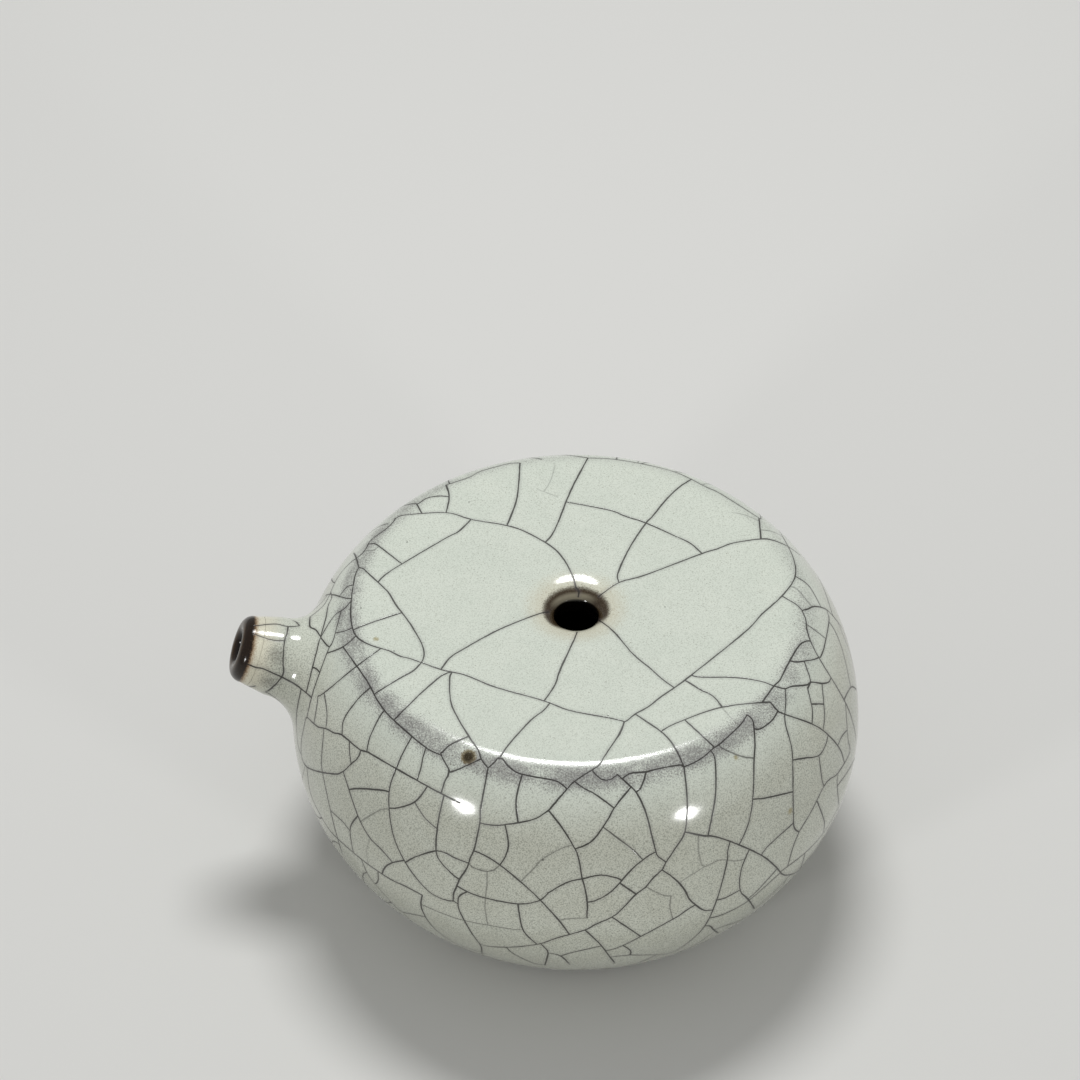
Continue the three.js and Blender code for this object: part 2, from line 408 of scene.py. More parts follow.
@dataclass
class GlazeCoat:
    """The one coat of glaze over body and spout, down into the filling hole and up to the bare lip."""

    form: VesselForm
    root: SpoutRoot
    body_sides: int = 320
    spout_sides: int = 96
    flare_rows: int = 20
    top_step: float = 1.0
    seam_room: float = 0.35
    hole_reach: float = 1.5
    throat_clear: float = 1.6
    foot_clear: float = 0.6
    seed: int = 11
    wall_room: float = 3.7
    slant_room: float = 14.8
    seen_well: float = 0.45
    seen_slightly: float = 0.22
    lip_gap: float = 0.02
    edge_round: float = 0.28

    def profile(self) -> list[Point2]:
        """Radius and height of the coat's outside, from its lower edge to the bottom of the throat."""
        form = self.form
        roll = form.mouth_roll()
        edge = form.upper_wall()[-1]
        count = math.ceil((edge[0] - roll[0][0]) / self.top_step)
        top = [(edge[0] + (roll[0][0] - edge[0]) * i / count, edge[1]) for i in range(1, count)]
        throat = [(form.throat_radius, form.top_height - form.throat_end)]
        return form.lower_wall()[::-1] + form.upper_wall()[1:] + top + roll + throat

    def is_at_root(self, point: Vector) -> bool:
        """Tells whether a point of the wall lies where the spout grows out of it."""
        local = self.root.from_row @ point
        near = math.hypot(local.x, local.y) < self.form.root_radius + self.seam_room
        return near and local.z > self.root.rear

    def outside(self, over_lip: bool = False) -> bmesh.types.BMesh:
        """The coat's outer sheet, in one piece from body to spout, with its faces pointing out.

        Args:
            over_lip: True runs it on over the lip, where its crackle and its burnt colour go on.

        Returns:
            The sheet.
        """
        form = self.form
        bm = bmesh.new()
        turn_about_axis(bm, chain(bm, self.profile()), self.body_sides, form.axis_x)
        under = [f for f in bm.faces if any(self.is_at_root(v.co) for v in f.verts)]
        bmesh.ops.delete(bm, geom=under, context="FACES")
        hole = [e for e in bm.edges if e.is_boundary and all(self.at_hole(v.co) for v in e.verts)]
        tube_end = -(form.lip_band + self.lip_gap)
        tube_rows = math.ceil((form.tube_length + tube_end) / form.tight_step)
        rows: list[Row] = [
            lambda azimuth, share=i / self.flare_rows: self.root.flare(azimuth, share)
            for i in range(self.flare_rows + 1)
        ]
        for i in range(1, tube_rows + 1):
            place = -form.tube_length + (form.tube_length + tube_end) * i / tube_rows
            rows.append(lambda azimuth, place=place: (form.tube_radius_at(place), place))
        made = rings(bm, self.root, rows, self.spout_sides, closed=False)
        if over_lip:
            section = form.lip_section(self.lip_gap)
            more_rings(bm, self.root, made[-1], [lambda azimuth, point=point: point for point in section])
        out = (self.root.to_row.to_3x3() @ Vector((0, 0, 1))).normalized()
        bmesh.ops.triangle_fill(bm, edges=hole + made[0], use_beauty=True, use_dissolve=False, normal=out)
        bmesh.ops.recalc_face_normals(bm, faces=bm.faces[:])
        highest = max(bm.faces, key=lambda f: f.calc_center_median().z)
        if highest.normal.z < 0:
            bmesh.ops.reverse_faces(bm, faces=bm.faces[:])
        return bm

    def at_hole(self, point: Vector) -> bool:
        """Tells whether a point lies by the opening that was cut for the root."""
        local = self.root.from_row @ point
        reach = self.hole_reach * self.form.root_radius
        return math.hypot(local.x, local.y) < reach and local.z > self.root.rear

    def shows(self, point: Vector) -> bool:
        """Tells whether a point of the sheet is on its outside, clear of the throat and of the lip."""
        form = self.form
        along_spout = (self.root.from_row @ point).z
        in_throat = math.hypot(point.x - form.axis_x, point.y) < form.throat_radius + self.throat_clear
        above_foot = point.z > form.heel_height + self.foot_clear
        return not in_throat and along_spout < -form.lip_band / 2 and above_foot

    def room(self, camera: "PhotoCamera") -> Callable[[Vector, Vector], float]:
        """Gives how far a place may lie from any crack, with no limit where the photograph shows the place.

        Where it shows the place at a slant, a crack may end that grew from behind, but none starts.
        """

        def room_at(place: Vector, normal: Vector) -> float:
            """The limit at one place."""
            well = normal.dot((camera.eye - place).normalized())
            if well > self.seen_well:
                return math.inf
            return self.slant_room if well > self.seen_slightly else self.wall_room

        return room_at

    def crackle(self, sheet: bmesh.types.BMesh, camera: "PhotoCamera") -> "CrackNet":
        """Lays the cracks that the photograph shows and grows the rest."""
        net = CrackNet(sheet, self.shows, self.seed)
        net.trace(SHOWN_CRACKS, camera)
        net.join_ends()
        shown = len(net.cracks)
        grown = net.spread(self.room(camera))
        log.info("crackle: %d cracks laid from the photograph, %d grown", shown, grown)
        return net

    def build(self, camera: "PhotoCamera") -> tuple[bpy.types.Object, "CrackNet"]:
        """Gives the sheet its thickness, rounds its lower edge and makes it a piece.

        Args:
            camera: The photograph's camera.

        Returns:
            The piece and its crackle.
        """
        form = self.form
        sheet = self.outside(over_lip=True)
        net = self.crackle(sheet, camera)
        sheet.free()
        bm = self.outside()
        bmesh.ops.solidify(bm, geom=bm.faces[:], thickness=form.glaze_thickness)
        bm.normal_update()
        edge = form.lower_wall()[-1]
        rim = [e for e in bm.edges if all(form.is_on(v.co, edge) for v in e.verts)]
        bmesh.ops.bevel(bm, geom=rim, offset=self.edge_round, segments=3, profile=0.5, affect="EDGES")
        coat = finished(bm, "glaze_coat", Slot.GLAZE, "outer_glaze")
        net.weave(coat.data)
        return coat, net


@dataclass
class FootPool:
    """The pool of glaze inside the foot ring, with a rounded edge."""

    form: VesselForm
    clay: "ClayForm"
    sides: int = 160
    step: float = 1.0
    edge_round: float = 0.5
    edge_angles: tuple[float, ...] = (-67.5, -45.0, -22.5, 0.0)
    cell_room: float = 5.0
    seed: int = 23

    def build(self) -> bpy.types.Object:
        """Makes the pool, crackles it and makes it a piece."""
        face = self.clay.pool_back - self.form.glaze_thickness
        edge, bend = self.clay.pool_radius, self.edge_round
        count = math.ceil((edge - bend) / self.step)
        flat = [((edge - bend) * i / count, face) for i in range(count + 1)]
        centre = (edge - bend, face + bend)
        angles = [math.radians(angle) for angle in self.edge_angles]
        rim = [(centre[0] + bend * math.cos(a), centre[1] + bend * math.sin(a)) for a in angles]
        back = [(edge, self.clay.pool_back), (0.0, self.clay.pool_back)]
        bm = bmesh.new()
        turn_about_axis(bm, chain(bm, flat + rim + back), self.sides, self.form.axis_x)
        bmesh.ops.recalc_face_normals(bm, faces=bm.faces[:])
        sheet = bm.copy()
        net = CrackNet(sheet, lambda point: point.z < face + bend / 2, self.seed, sparse=1)
        net.spread(lambda place, normal: self.cell_room)
        sheet.free()
        pool = finished(bm, "foot_pool", Slot.GLAZE, "foot_glaze")
        net.weave(pool.data)
        return pool


@dataclass(frozen=True)
class ClayForm:
    """The sizes of the clay under the glaze, the same as the CAD part's."""

    form: VesselForm
    layer_gap: float = 0.3
    wall: float = 3.2
    floor: float = 3.0
    foot_set_in: float = 1.6
    foot_shoulder: float = 1.6
    foot_width: float = 4.4
    foot_recess: float = 2.2
    foot_round: float = 0.5
    pool_margin: float = 0.9

    @property
    def depth(self) -> float:
        """How far the clay lies under the glaze's surface."""
        return self.form.glaze_thickness + self.layer_gap

    @property
    def lining(self) -> float:
        """How far the chamber's wall lies under the glaze's surface."""
        return self.depth + self.wall

    @property
    def foot_radius(self) -> float:
        """The outside of the foot ring."""
        return self.form.lower_wall()[-1][0] - self.foot_set_in

    @property
    def foot_inside(self) -> float:
        """The inside of the foot ring."""
        return self.foot_radius - self.foot_width

    @property
    def pool_radius(self) -> float:
        """The edge of the pool of glaze inside the ring."""
        return self.foot_inside - self.pool_margin

    @property
    def pool_back(self) -> float:
        """The height of the back of the pool."""
        return self.foot_recess - self.layer_gap


@dataclass
class ClayBowl:
    """The thrown bowl with its floor and its turned foot ring, bare where the glaze stops."""

    form: VesselForm
    clay: ClayForm
    sides: int = 192

    def build(self) -> bpy.types.Object:
        """Spins the bowl, rounds the foot ring's corners and makes it a piece."""
        form, clay = self.form, self.clay
        floor_height = clay.foot_recess + clay.floor
        lining = [point for point in form.lower_wall(clay.lining) if point[1] > floor_height]
        foot = [
            (clay.foot_inside, clay.foot_recess), (clay.foot_inside, 0.0), (clay.foot_radius, 0.0),
            (clay.foot_radius, clay.foot_shoulder),
        ]
        floor = [(lining[-1][0], floor_height), (0.0, floor_height)]
        wall = form.lower_wall(clay.depth)[::-1]
        bm = bmesh.new()
        section = chain(bm, [(0.0, clay.foot_recess), *foot, *wall, *lining, *floor])
        turn_about_axis(bm, section, self.sides, form.axis_x)
        bmesh.ops.recalc_face_normals(bm, faces=bm.faces[:])
        bm.normal_update()
        edges = [
            edge for edge in bm.edges for corner in foot[:3]
            if all(form.is_on(vert.co, corner) for vert in edge.verts)
        ]
        bmesh.ops.bevel(bm, geom=edges, offset=clay.foot_round, segments=4, profile=0.5, affect="EDGES")
        return finished(bm, "clay_bowl", Slot.CLAY, "lower_body")


@dataclass
class ClaySpout:
    """The luted spout under its glaze: bore, rounded bare lip, and a root that flares on to the wall."""

    form: VesselForm
    clay: ClayForm
    root: SpoutRoot
    sides: int = 96
    flare_rows: int = 12
    back_rows: int = 6
    corner: float = 0.03
    halvings: int = 14
    clear_of_wall: float = 0.05
    bore_depths: tuple[float, ...] = (1.0, 4.0, 8.0)

    def lowest_share(self, azimuth: float) -> float:
        """Where along the flare the clay comes out of the wall's own glaze, as a share."""
        low, high = 0.0, 1.0
        for _ in range(self.halvings):
            share = (low + high) / 2
            radius, place = self.root.flare(azimuth, share, self.clay.depth)
            on_wall = self.root.place_on_wall(radius, azimuth, self.form.glaze_thickness)
            low, high = (share, high) if place < on_wall + self.clear_of_wall else (low, share)
        return high

    def build(self) -> bpy.types.Object:
        """Makes the spout ring by ring, from the back out over the flare and the lip into the bore."""
        form, clay, root = self.form, self.clay, self.root
        shares: dict[float, float] = {}

        def flared(azimuth: float, part: float) -> Point2:
            """A point of the flare, from where it leaves the wall at 0 to the tube at 1."""
            key = round(azimuth, 4)
            if key not in shares:
                shares[key] = self.lowest_share(azimuth)
            return root.flare(azimuth, shares[key] + (1 - shares[key]) * part, clay.depth)

        def behind(azimuth: float, part: float) -> Point2:
            """A point of the back, which lies on the wall, from the bore at 0 to the flare's edge at 1."""
            radius = form.bore_radius + (flared(azimuth, 0.0)[0] - form.bore_radius) * part
            return radius, root.place_on_wall(radius, azimuth, form.glaze_thickness)

        back = [i / self.back_rows for i in range(self.back_rows)]
        flare = [i / self.flare_rows for i in range(self.flare_rows + 1)]
        rows: list[Row] = [lambda azimuth, part=part: behind(azimuth, part) for part in back]
        rows += [lambda azimuth, part=part: flared(azimuth, part) for part in flare]
        band = form.tube_radius_at(-form.lip_band)
        section = [(band - clay.depth, -form.lip_band), (band - self.corner, -form.lip_band)]
        section += form.lip_section(self.corner)
        section += [(form.bore_radius, -depth) for depth in self.bore_depths]
        rows += [lambda azimuth, point=point: point for point in section]
        bm = bmesh.new()
        rings(bm, root, rows, self.sides, closed=True)
        bmesh.ops.recalc_face_normals(bm, faces=bm.faces[:])
        return finished(bm, "clay_spout", Slot.LIP, "spout")


# Crackle


@dataclass(frozen=True)
class Route:
    """A crack as the photograph shows it: the pixels that it runs through, and how dark it is."""

    name: str
    through: tuple[Pixel, ...]
    strength: float = 1.0


TOP_CRACKS = (
    Route("hole_to_far_left", ((576, 588), (571, 572), (556, 550), (528, 533), (507, 525.5), (471, 519.3),
        (446, 512.5), (405, 515), (397, 517.5))),
    Route("into_the_hole", ((576, 588), (579, 591), (578, 597))),
    Route("far_rib", ((520, 463), (517, 498), (507, 525.5))),
    Route("far_edge_to_arc", ((588, 458), (571, 490), (557, 525), (551, 536), (545, 542.5))),
    Route("far_right_cross", ((567, 502), (609, 510), (625, 516), (646, 523), (675, 536), (690, 543),
        (702, 553.5))),
    Route("hole_to_far_right", ((598, 597), (619, 582.5), (645, 575), (702, 553.5), (717, 549), (733, 543),
        (760, 539), (772, 540), (787, 546), (800, 555))),
    Route("far_right_hook", ((619, 582.5), (618, 573), (630, 547), (646, 523), (652, 517), (665, 501),
        (678, 488), (692, 479))),
    Route("far_right_post", ((759, 518), (761, 539))),
    Route("right_edge_to_front", ((780, 532), (793, 557), (795, 577), (782, 596), (762, 614), (745, 632),
        (685, 680), (662, 696), (648, 707), (635, 714), (628, 720), (624, 722))),
    Route("hole_to_left", ((549, 612), (537, 614.5), (498, 630), (460, 651), (449, 658.5), (441, 669.5))),
    Route("hole_to_front", ((578, 629), (574, 640), (560, 670), (555, 685), (544, 701))),
    Route("hole_to_right", ((595, 618), (612, 630), (634, 655), (650, 668), (662, 679), (675, 688))),
    Route("left_diagonal", ((471, 519.5), (458, 532), (446, 538), (392, 570), (378, 582))),
    Route("left_corner", ((369, 544), (374, 543.5), (380, 547), (402, 564))),
    Route("left_long", ((353, 552), (356, 557), (359, 567), (363, 568.5), (369, 574), (388, 592), (396, 605),
        (409, 622), (421, 642), (424, 652), (423.5, 658), (421, 663))),
    Route("left_rung", ((402, 612.5), (369, 623.5), (353, 630))),
    Route("front_left_long", ((359, 567), (355, 576), (351.5, 598), (351, 620), (356, 636), (370, 645),
        (390, 651), (400, 656.5), (410, 658.5), (441, 669.5), (465, 675), (495, 687), (543, 700.5),
        (570, 710.5), (610, 718), (624, 721.5))),
    Route("left_low_diagonal", ((374.5, 694), (400, 678), (413, 671), (421, 663))),
    Route("left_low_curve", ((451, 672), (444, 674), (436, 680), (418, 696), (394, 720))),
    Route("to_the_iron_spot", ((452, 672), (449.5, 680), (452, 706), (468, 735), (478, 750), (481, 759),
        (488, 768))),
    Route("front_diagonal", ((550, 703), (543, 711), (531, 720), (510, 743), (500, 757))),
    Route("front_stub", ((624, 722), (620, 733), (604, 757), (601, 763), (597, 767))),
    Route("right_low_curve", ((635, 714), (661, 731.5), (674, 746), (684, 767))),
    Route("right_low_arc", ((661, 731.5), (672, 725), (708, 711), (735, 705), (770, 702))),
    Route("right_low_rung", ((685, 720), (714, 747))),
    Route("right_level", ((691, 675), (700, 677), (735, 677.5), (760, 681), (774, 686))),
    Route("right_hook", ((685, 680), (701, 690), (710, 694), (717, 700), (722, 707))),
)

SHOULDER_CRACKS = (
    Route("far_left_edge", ((396.5, 514), (394, 521), (386, 529), (371, 540), (367, 547), (362, 554),
        (356.5, 558))),
    Route("far_left_post", ((446, 485), (448.5, 492), (449, 500), (446, 512.5))),
    Route("far_left_level", ((448.5, 496.5), (440, 496), (427, 498), (417, 504.5), (411, 503.5))),
    Route("far_left_tick", ((417, 504.5), (422, 513.5))),
    Route("far_rim", ((520, 463), (507, 464), (480, 471.5), (470, 477), (446, 485)), 0.8),
    Route("far_rim_right", ((588, 458), (620, 460), (672, 471), (706, 487), (721, 494), (759, 518)), 0.8),
    Route("left_notch", ((353, 585), (347, 587), (340, 595.5))),
    Route("left_shelf", ((323, 600), (325, 595.5), (332, 594.5), (345, 598), (351, 598.5))),
    Route("left_fork", ((351, 601), (344, 609), (334, 616), (321, 637), (317, 650), (306.5, 692))),
    Route("left_inner_fork", ((343, 604), (333, 641), (329, 648), (314, 689), (307, 717))),
    Route("left_ledge", ((352, 628), (345, 631), (336, 633))),
    Route("left_far_wall", ((356, 559), (351, 562), (338, 577), (327, 600), (321, 608), (310, 617))),
    Route("left_wall_line", ((330, 592), (332, 597), (328, 606), (326, 618), (320.5, 637))),
    Route("left_bridge", ((328, 653), (343, 647), (356, 636))),
    Route("left_shoulder", ((343, 647), (367, 681), (379, 703), (394, 720.5), (425, 747), (441, 755))),
    Route("spot_loop", ((469, 736), (450, 745), (444, 751), (441, 755), (450, 772), (446, 778), (441, 793))),
    Route("under_the_spot", ((450, 772), (458, 769.5), (481, 759))),
    Route("front_notch", ((488, 768), (494, 763), (500, 757), (509, 767), (521, 774), (552, 780), (560, 783),
        (567, 789))),
    Route("front_rise", ((597, 767), (575, 781), (567, 789), (549, 810))),
    Route("front_bowl", ((592, 770), (597, 776), (603, 780), (610, 780), (617, 775))),
    Route("front_fork", ((607, 765), (630, 786), (636, 792), (646, 813), (656, 852), (660, 858), (666, 862))),
    Route("front_tick", ((646, 773), (641, 788), (636, 792))),
    Route("right_shoulder", ((622, 779), (630, 773.5), (645, 772), (660, 768.5), (680, 765), (684, 767),
        (697, 761), (706, 755), (714, 747.5), (720, 744), (742, 723), (748.5, 710), (748.5, 704))),
    Route("right_pocket", ((778, 711), (774, 718), (768, 724), (757, 729.5), (743, 722))),
    Route("right_stair", ((810, 641), (805, 641.5), (798, 647), (787, 666), (780, 680), (774, 686),
        (764, 700))),
    Route("right_box_top", ((791, 661), (797, 662), (812, 660), (820, 657))),
    Route("right_box_foot", ((774, 686), (785, 689), (791, 686.5), (807, 685), (811, 682), (822, 683.5),
        (829, 682), (831, 678))),
    Route("right_edge_lead", ((782, 596), (797, 605), (802, 610.5))),
    Route("right_edge_drop", ((802, 610.5), (806, 620), (807, 630), (815, 651), (844, 700), (854, 727),
        (857, 752))),
    Route("right_edge_cap", ((802, 610.5), (808, 609), (815, 606.5), (827, 610), (840, 625), (845, 634))),
    Route("right_edge_rung", ((795, 576), (809, 586), (821, 607))),
    Route("right_edge_loop", ((827, 611), (829, 621), (824, 648), (820, 658))),
    Route("right_far_wall", ((829, 622), (835, 631), (843, 652), (851, 688))),
)

SPOUT_CRACKS = (
    Route("spout_upper_line", ((254, 626), (275, 624), (287, 626.5), (298, 626), (309, 622.5)), 0.8),
    Route("spout_top_tick", ((290, 619), (296, 622), (299, 625)), 0.8),
    Route("spout_ring", ((288, 627), (287, 634), (284.5, 641), (283, 663), (284, 671), (281, 678),
        (270, 689.5), (262, 693)), 0.9),
    Route("spout_middle_line", ((254, 634), (272, 640), (284.5, 641)), 0.8),
    Route("spout_lower_line", ((247, 664), (256, 667.5), (265, 669.5), (293, 683), (311, 697))),
    Route("root_hood", ((310, 617), (310, 627), (316, 630), (324, 642), (329, 647))),
    Route("root_rung", ((312, 667), (316, 668.5), (319, 671.5))),
    Route("root_drop", ((301, 690), (296.5, 716), (298, 745), (303, 757)), 0.8),
    Route("root_side", ((314, 687), (318, 696), (314, 723))),
)

LEFT_WALL_CRACKS = (
    Route("left_crossing", ((380, 649), (352, 670), (324, 693), (318, 696))),
    Route("left_rib_a", ((324, 693), (327, 712), (326, 728))),
    Route("left_rib_b", ((370, 688), (358, 699), (344, 719), (342, 734))),
    Route("left_rib_c", ((384, 711), (379, 718), (370, 737), (367, 750))),
    Route("left_rib_d", ((411, 738), (401, 757), (396, 769))),
    Route("left_rib_e", ((426, 748), (423, 757), (421, 768), (417, 780))),
    Route("left_belt", ((307, 717), (318, 727), (326, 728.5), (334, 733), (342, 735), (360, 750), (366, 751),
        (376, 757), (427, 786), (460, 803))),
    Route("left_pocket", ((307, 717), (305, 722), (301, 748), (307, 767), (333, 774), (343, 771.5),
        (351, 764), (358, 758), (361, 750))),
    Route("left_pocket_rib", ((324, 728), (322, 752), (321.5, 765), (325, 785), (334, 825), (343, 856))),
    Route("left_pocket_tick", ((349.5, 742), (349.5, 752), (351, 763))),
    Route("left_outline", ((307, 768), (311, 795), (325, 823), (337, 838), (365, 862), (390, 879), (403, 885),
        (422, 895))),
    Route("left_long_rib", ((343, 771), (358, 816), (370, 838), (380, 848), (393, 863))),
    Route("left_branch_a", ((331, 811), (343, 822), (350, 831)), 0.8),
    Route("left_branch_b", ((358, 816), (352, 823), (350, 832), (353, 851))),
    Route("left_brick_top", ((350, 789.5), (359, 788.5), (381, 790), (389, 792))),
    Route("left_main_rib", ((396, 769), (389, 792), (392, 830), (405, 862), (427, 890), (445, 900),
        (453, 901), (458, 904))),
    Route("left_bowl", ((389, 808), (397, 808), (415, 802), (427, 787))),
    Route("left_bowl_tail", ((415, 803), (425, 818), (436, 828)), 0.75),
    Route("left_hump_small", ((382, 874), (385, 867), (393, 862.5), (404, 860.5))),
    Route("left_low_line", ((362, 861), (371, 879), (397, 908), (403, 912)), 0.8),
    Route("left_low_hook", ((378, 872), (378, 881), (374, 884), (369, 880)), 0.9),
    Route("left_low_curl", ((427, 890), (423, 893), (421.5, 908), (433, 927), (455, 943), (480, 952))),
    Route("left_low_rung", ((399, 911.5), (424, 916.5)), 0.8),
)

FRONT_WALL_CRACKS = (
    Route("front_pillar_left", ((444, 795), (439, 817), (436, 842), (438, 858), (452, 874), (459, 879))),
    Route("front_hump", ((406, 862), (415, 857), (434, 851), (443, 852), (455, 858), (468, 863))),
    Route("front_pillar", ((488, 768), (480.5, 810), (480, 822), (474, 850), (470, 858), (467, 868),
        (459, 880), (457, 886), (454, 892), (453, 900))),
    Route("front_pillar_foot", ((467, 892), (459, 896), (458, 904), (460, 912), (471, 932), (481, 946),
        (482, 953), (486, 957))),
    Route("front_low_sweep", ((457, 886), (478, 896), (518, 904), (541, 900), (548, 893), (568, 882),
        (582, 879), (600, 875), (617, 878), (622, 881))),
    Route("front_level", ((480, 823), (497, 825.5), (528, 821), (537, 818), (549, 810))),
    Route("front_upright", ((522, 775), (516, 800), (518, 822))),
    Route("front_barrel", ((505, 825), (508.5, 843), (506, 855), (500, 865))),
    Route("front_barrel_tail", ((500, 865), (490, 871.5), (474, 868), (469, 863)), 0.6),
    Route("front_long_diagonal", ((474, 851), (482, 854), (500, 865), (531, 891), (556, 917), (570, 935))),
    Route("front_main", ((549, 811), (563, 829), (575, 849), (579, 860), (582, 878), (585, 888), (587.5, 905),
        (587, 917), (593, 926))),
    Route("front_right_sweep", ((575, 849), (592, 841), (609, 818), (614, 808), (631, 787))),
    Route("front_right_rung", ((575, 782), (585, 789), (595, 794), (614, 808))),
    Route("front_right_thin", ((603, 827), (632, 849), (641, 858)), 0.75),
    Route("front_low_post", ((518, 904), (523, 930), (538, 945))),
    Route("front_foot_line", ((480, 944), (490, 946.5), (515, 947), (541, 943.5), (555, 938.5), (585, 930),
        (594, 925), (612, 917), (622, 909), (636, 894), (645, 888), (653, 878), (662, 870), (666, 862))),
    Route("front_foot_a", ((507, 948), (514, 954), (533, 963), (545, 965))),
    Route("front_foot_b", ((541, 944), (547, 950), (548, 954), (545, 965))),
    Route("front_foot_c", ((548, 953), (561, 956), (571, 966))),
    Route("front_foot_d", ((561, 956), (570, 953), (601, 946))),
    Route("front_foot_e", ((585, 930), (600, 944), (610, 957), (614, 962), (613, 965))),
)

RIGHT_WALL_CRACKS = (
    Route("right_pillar", ((684, 767), (687, 795), (687, 815), (685, 832), (681, 840), (666, 862))),
    Route("right_arc", ((656, 852), (648, 856), (631, 870), (612, 891), (595, 901), (588, 902))),
    Route("right_arc_rung", ((621, 884), (636, 894))),
    Route("right_bowl", ((662, 870), (670, 875), (680, 884), (686, 892), (690, 900), (703, 910), (712, 910))),
    Route("right_foot_sweep", ((695, 905), (685, 911), (675, 918), (624, 945), (605, 951))),
    Route("right_foot_rung", ((612, 917), (641, 936.5))),
    Route("right_foot_hook", ((624, 946), (629, 949), (631, 952), (630, 955))),
    Route("right_foot_line", ((611, 957), (630, 955), (645, 955), (670, 953), (690, 941), (706, 924),
        (718, 896), (727, 862), (727.5, 852), (730, 842))),
    Route("right_belt", ((685, 832), (705, 836), (712, 836), (732, 842), (761, 855), (775, 866), (784, 875),
        (797, 872), (802, 864), (805, 853))),
    Route("right_post_a", ((711, 751), (715, 760), (715.5, 795), (708, 836))),
    Route("right_post_b", ((747, 715), (752, 719), (754, 728), (755, 745), (754, 760), (753, 798), (748, 825),
        (739, 845))),
    Route("right_post_c", ((785, 689), (786, 700), (785, 722), (792, 750), (793, 792), (793.5, 823),
        (795, 829), (799, 832))),
    Route("right_post_d", ((804, 661), (811, 682), (807, 686), (808, 690), (812.5, 710), (812, 724))),
    Route("right_post_e", ((822, 684), (824.5, 715), (823, 731))),
    Route("right_short_rung", ((812, 704), (824, 704))),
    Route("right_long_sweep", ((770, 702), (778, 711), (784, 714), (818, 727), (838, 746), (844, 761))),
    Route("right_brick_side", ((828, 735), (826, 744), (819, 755.5), (805, 758), (793, 760))),
    Route("right_brick_tail", ((819, 756), (822, 780), (824, 786))),
    Route("right_brick_top", ((753, 799), (765, 798), (792, 792))),
    Route("right_wing", ((793.5, 823), (768, 846), (762, 854))),
    Route("right_wing_tail", ((799, 832), (793, 847), (787.5, 867))),
    Route("right_big_curve", ((846, 710), (848, 740), (850, 752), (838, 773), (830, 779), (824, 786),
        (812, 810), (799, 832))),
    Route("right_far_rib", ((847.5, 730), (842, 736), (838, 745))),
    Route("right_far_notch", ((844, 700), (851, 687), (857, 690))),
    Route("right_far_curl", ((817, 801), (824, 820), (824, 829))),
    Route("right_far_post", ((838, 774), (837, 783), (839, 806))),
    Route("right_low_outline", ((780, 872), (805, 853), (821, 836), (832, 819), (848, 787), (852, 768))),
    Route("right_low_loop", ((749, 850), (741, 870), (740, 890), (748, 899), (754, 908))),
    Route("right_low_rail", ((749, 898), (758, 890), (777, 869))),
    Route("right_low_twin", ((710, 918), (724, 914), (748, 901), (780, 873))),
    Route("right_low_edge", ((754, 909), (775, 891), (790, 875))),
    Route("right_low_step", ((717, 900), (725, 898), (740, 890))),
    Route("right_foot_tick", ((705, 926), (710, 926), (714, 930), (720, 934))),
)

FAINT_CRACKS = (
    Route("far_hair", ((555, 459), (554, 470), (550, 482), (545, 490)), 0.35),
    Route("far_hair_cross", ((537, 489), (558, 497)), 0.3),
    Route("far_right_hair", ((723, 513), (732, 512.5), (745, 515), (757, 520)), 0.4),
    Route("far_right_hair_low", ((762, 530), (770, 531), (778, 534)), 0.5),
    Route("right_edge_hair", ((792, 587), (798, 590), (812, 607)), 0.5),
    Route("right_loop_hair", ((812, 628), (825, 638)), 0.7),
    Route("right_shoulder_hair", ((719, 744), (722, 748), (740, 756), (752, 758)), 0.65),
    Route("right_top_hair", ((723, 709), (738, 725)), 0.35),
    Route("left_corner_hair", ((378, 547), (374, 550), (370, 550.5)), 0.5),
    Route("left_wall_hair", ((363, 820), (380, 810), (387, 809)), 0.5),
    Route("left_wall_hair_low", ((370, 838), (367, 848), (367, 857), (369, 866)), 0.35),
    Route("front_left_hair", ((420, 904), (455, 918), (487, 925)), 0.55),
    Route("front_hair", ((488, 925), (510, 929), (522, 930)), 0.55),
    Route("front_upright_hair", ((487, 872), (487, 885), (485, 905), (488, 927)), 0.5),
    Route("front_curved_hair", ((521, 881), (536, 866), (541, 860), (560, 849), (572, 845)), 0.5),
    Route("front_level_hair", ((560, 920), (570, 918.5), (587, 918)), 0.5),
    Route("right_upright_hair", ((698.5, 836), (698.5, 850), (701, 862), (704, 867), (720, 860), (735, 861),
        (741, 860)), 0.45),
    Route("right_back_hair", ((704, 867), (682, 881)), 0.4),
    Route("right_low_hair", ((650, 889), (660, 894), (671, 896), (680, 891)), 0.5),
    Route("right_low_hair_drop", ((671, 896), (670, 908), (673, 919)), 0.55),
)

SHOWN_CRACKS = (
    TOP_CRACKS + SHOULDER_CRACKS + SPOUT_CRACKS + LEFT_WALL_CRACKS + FRONT_WALL_CRACKS + RIGHT_WALL_CRACKS
    + FAINT_CRACKS
)


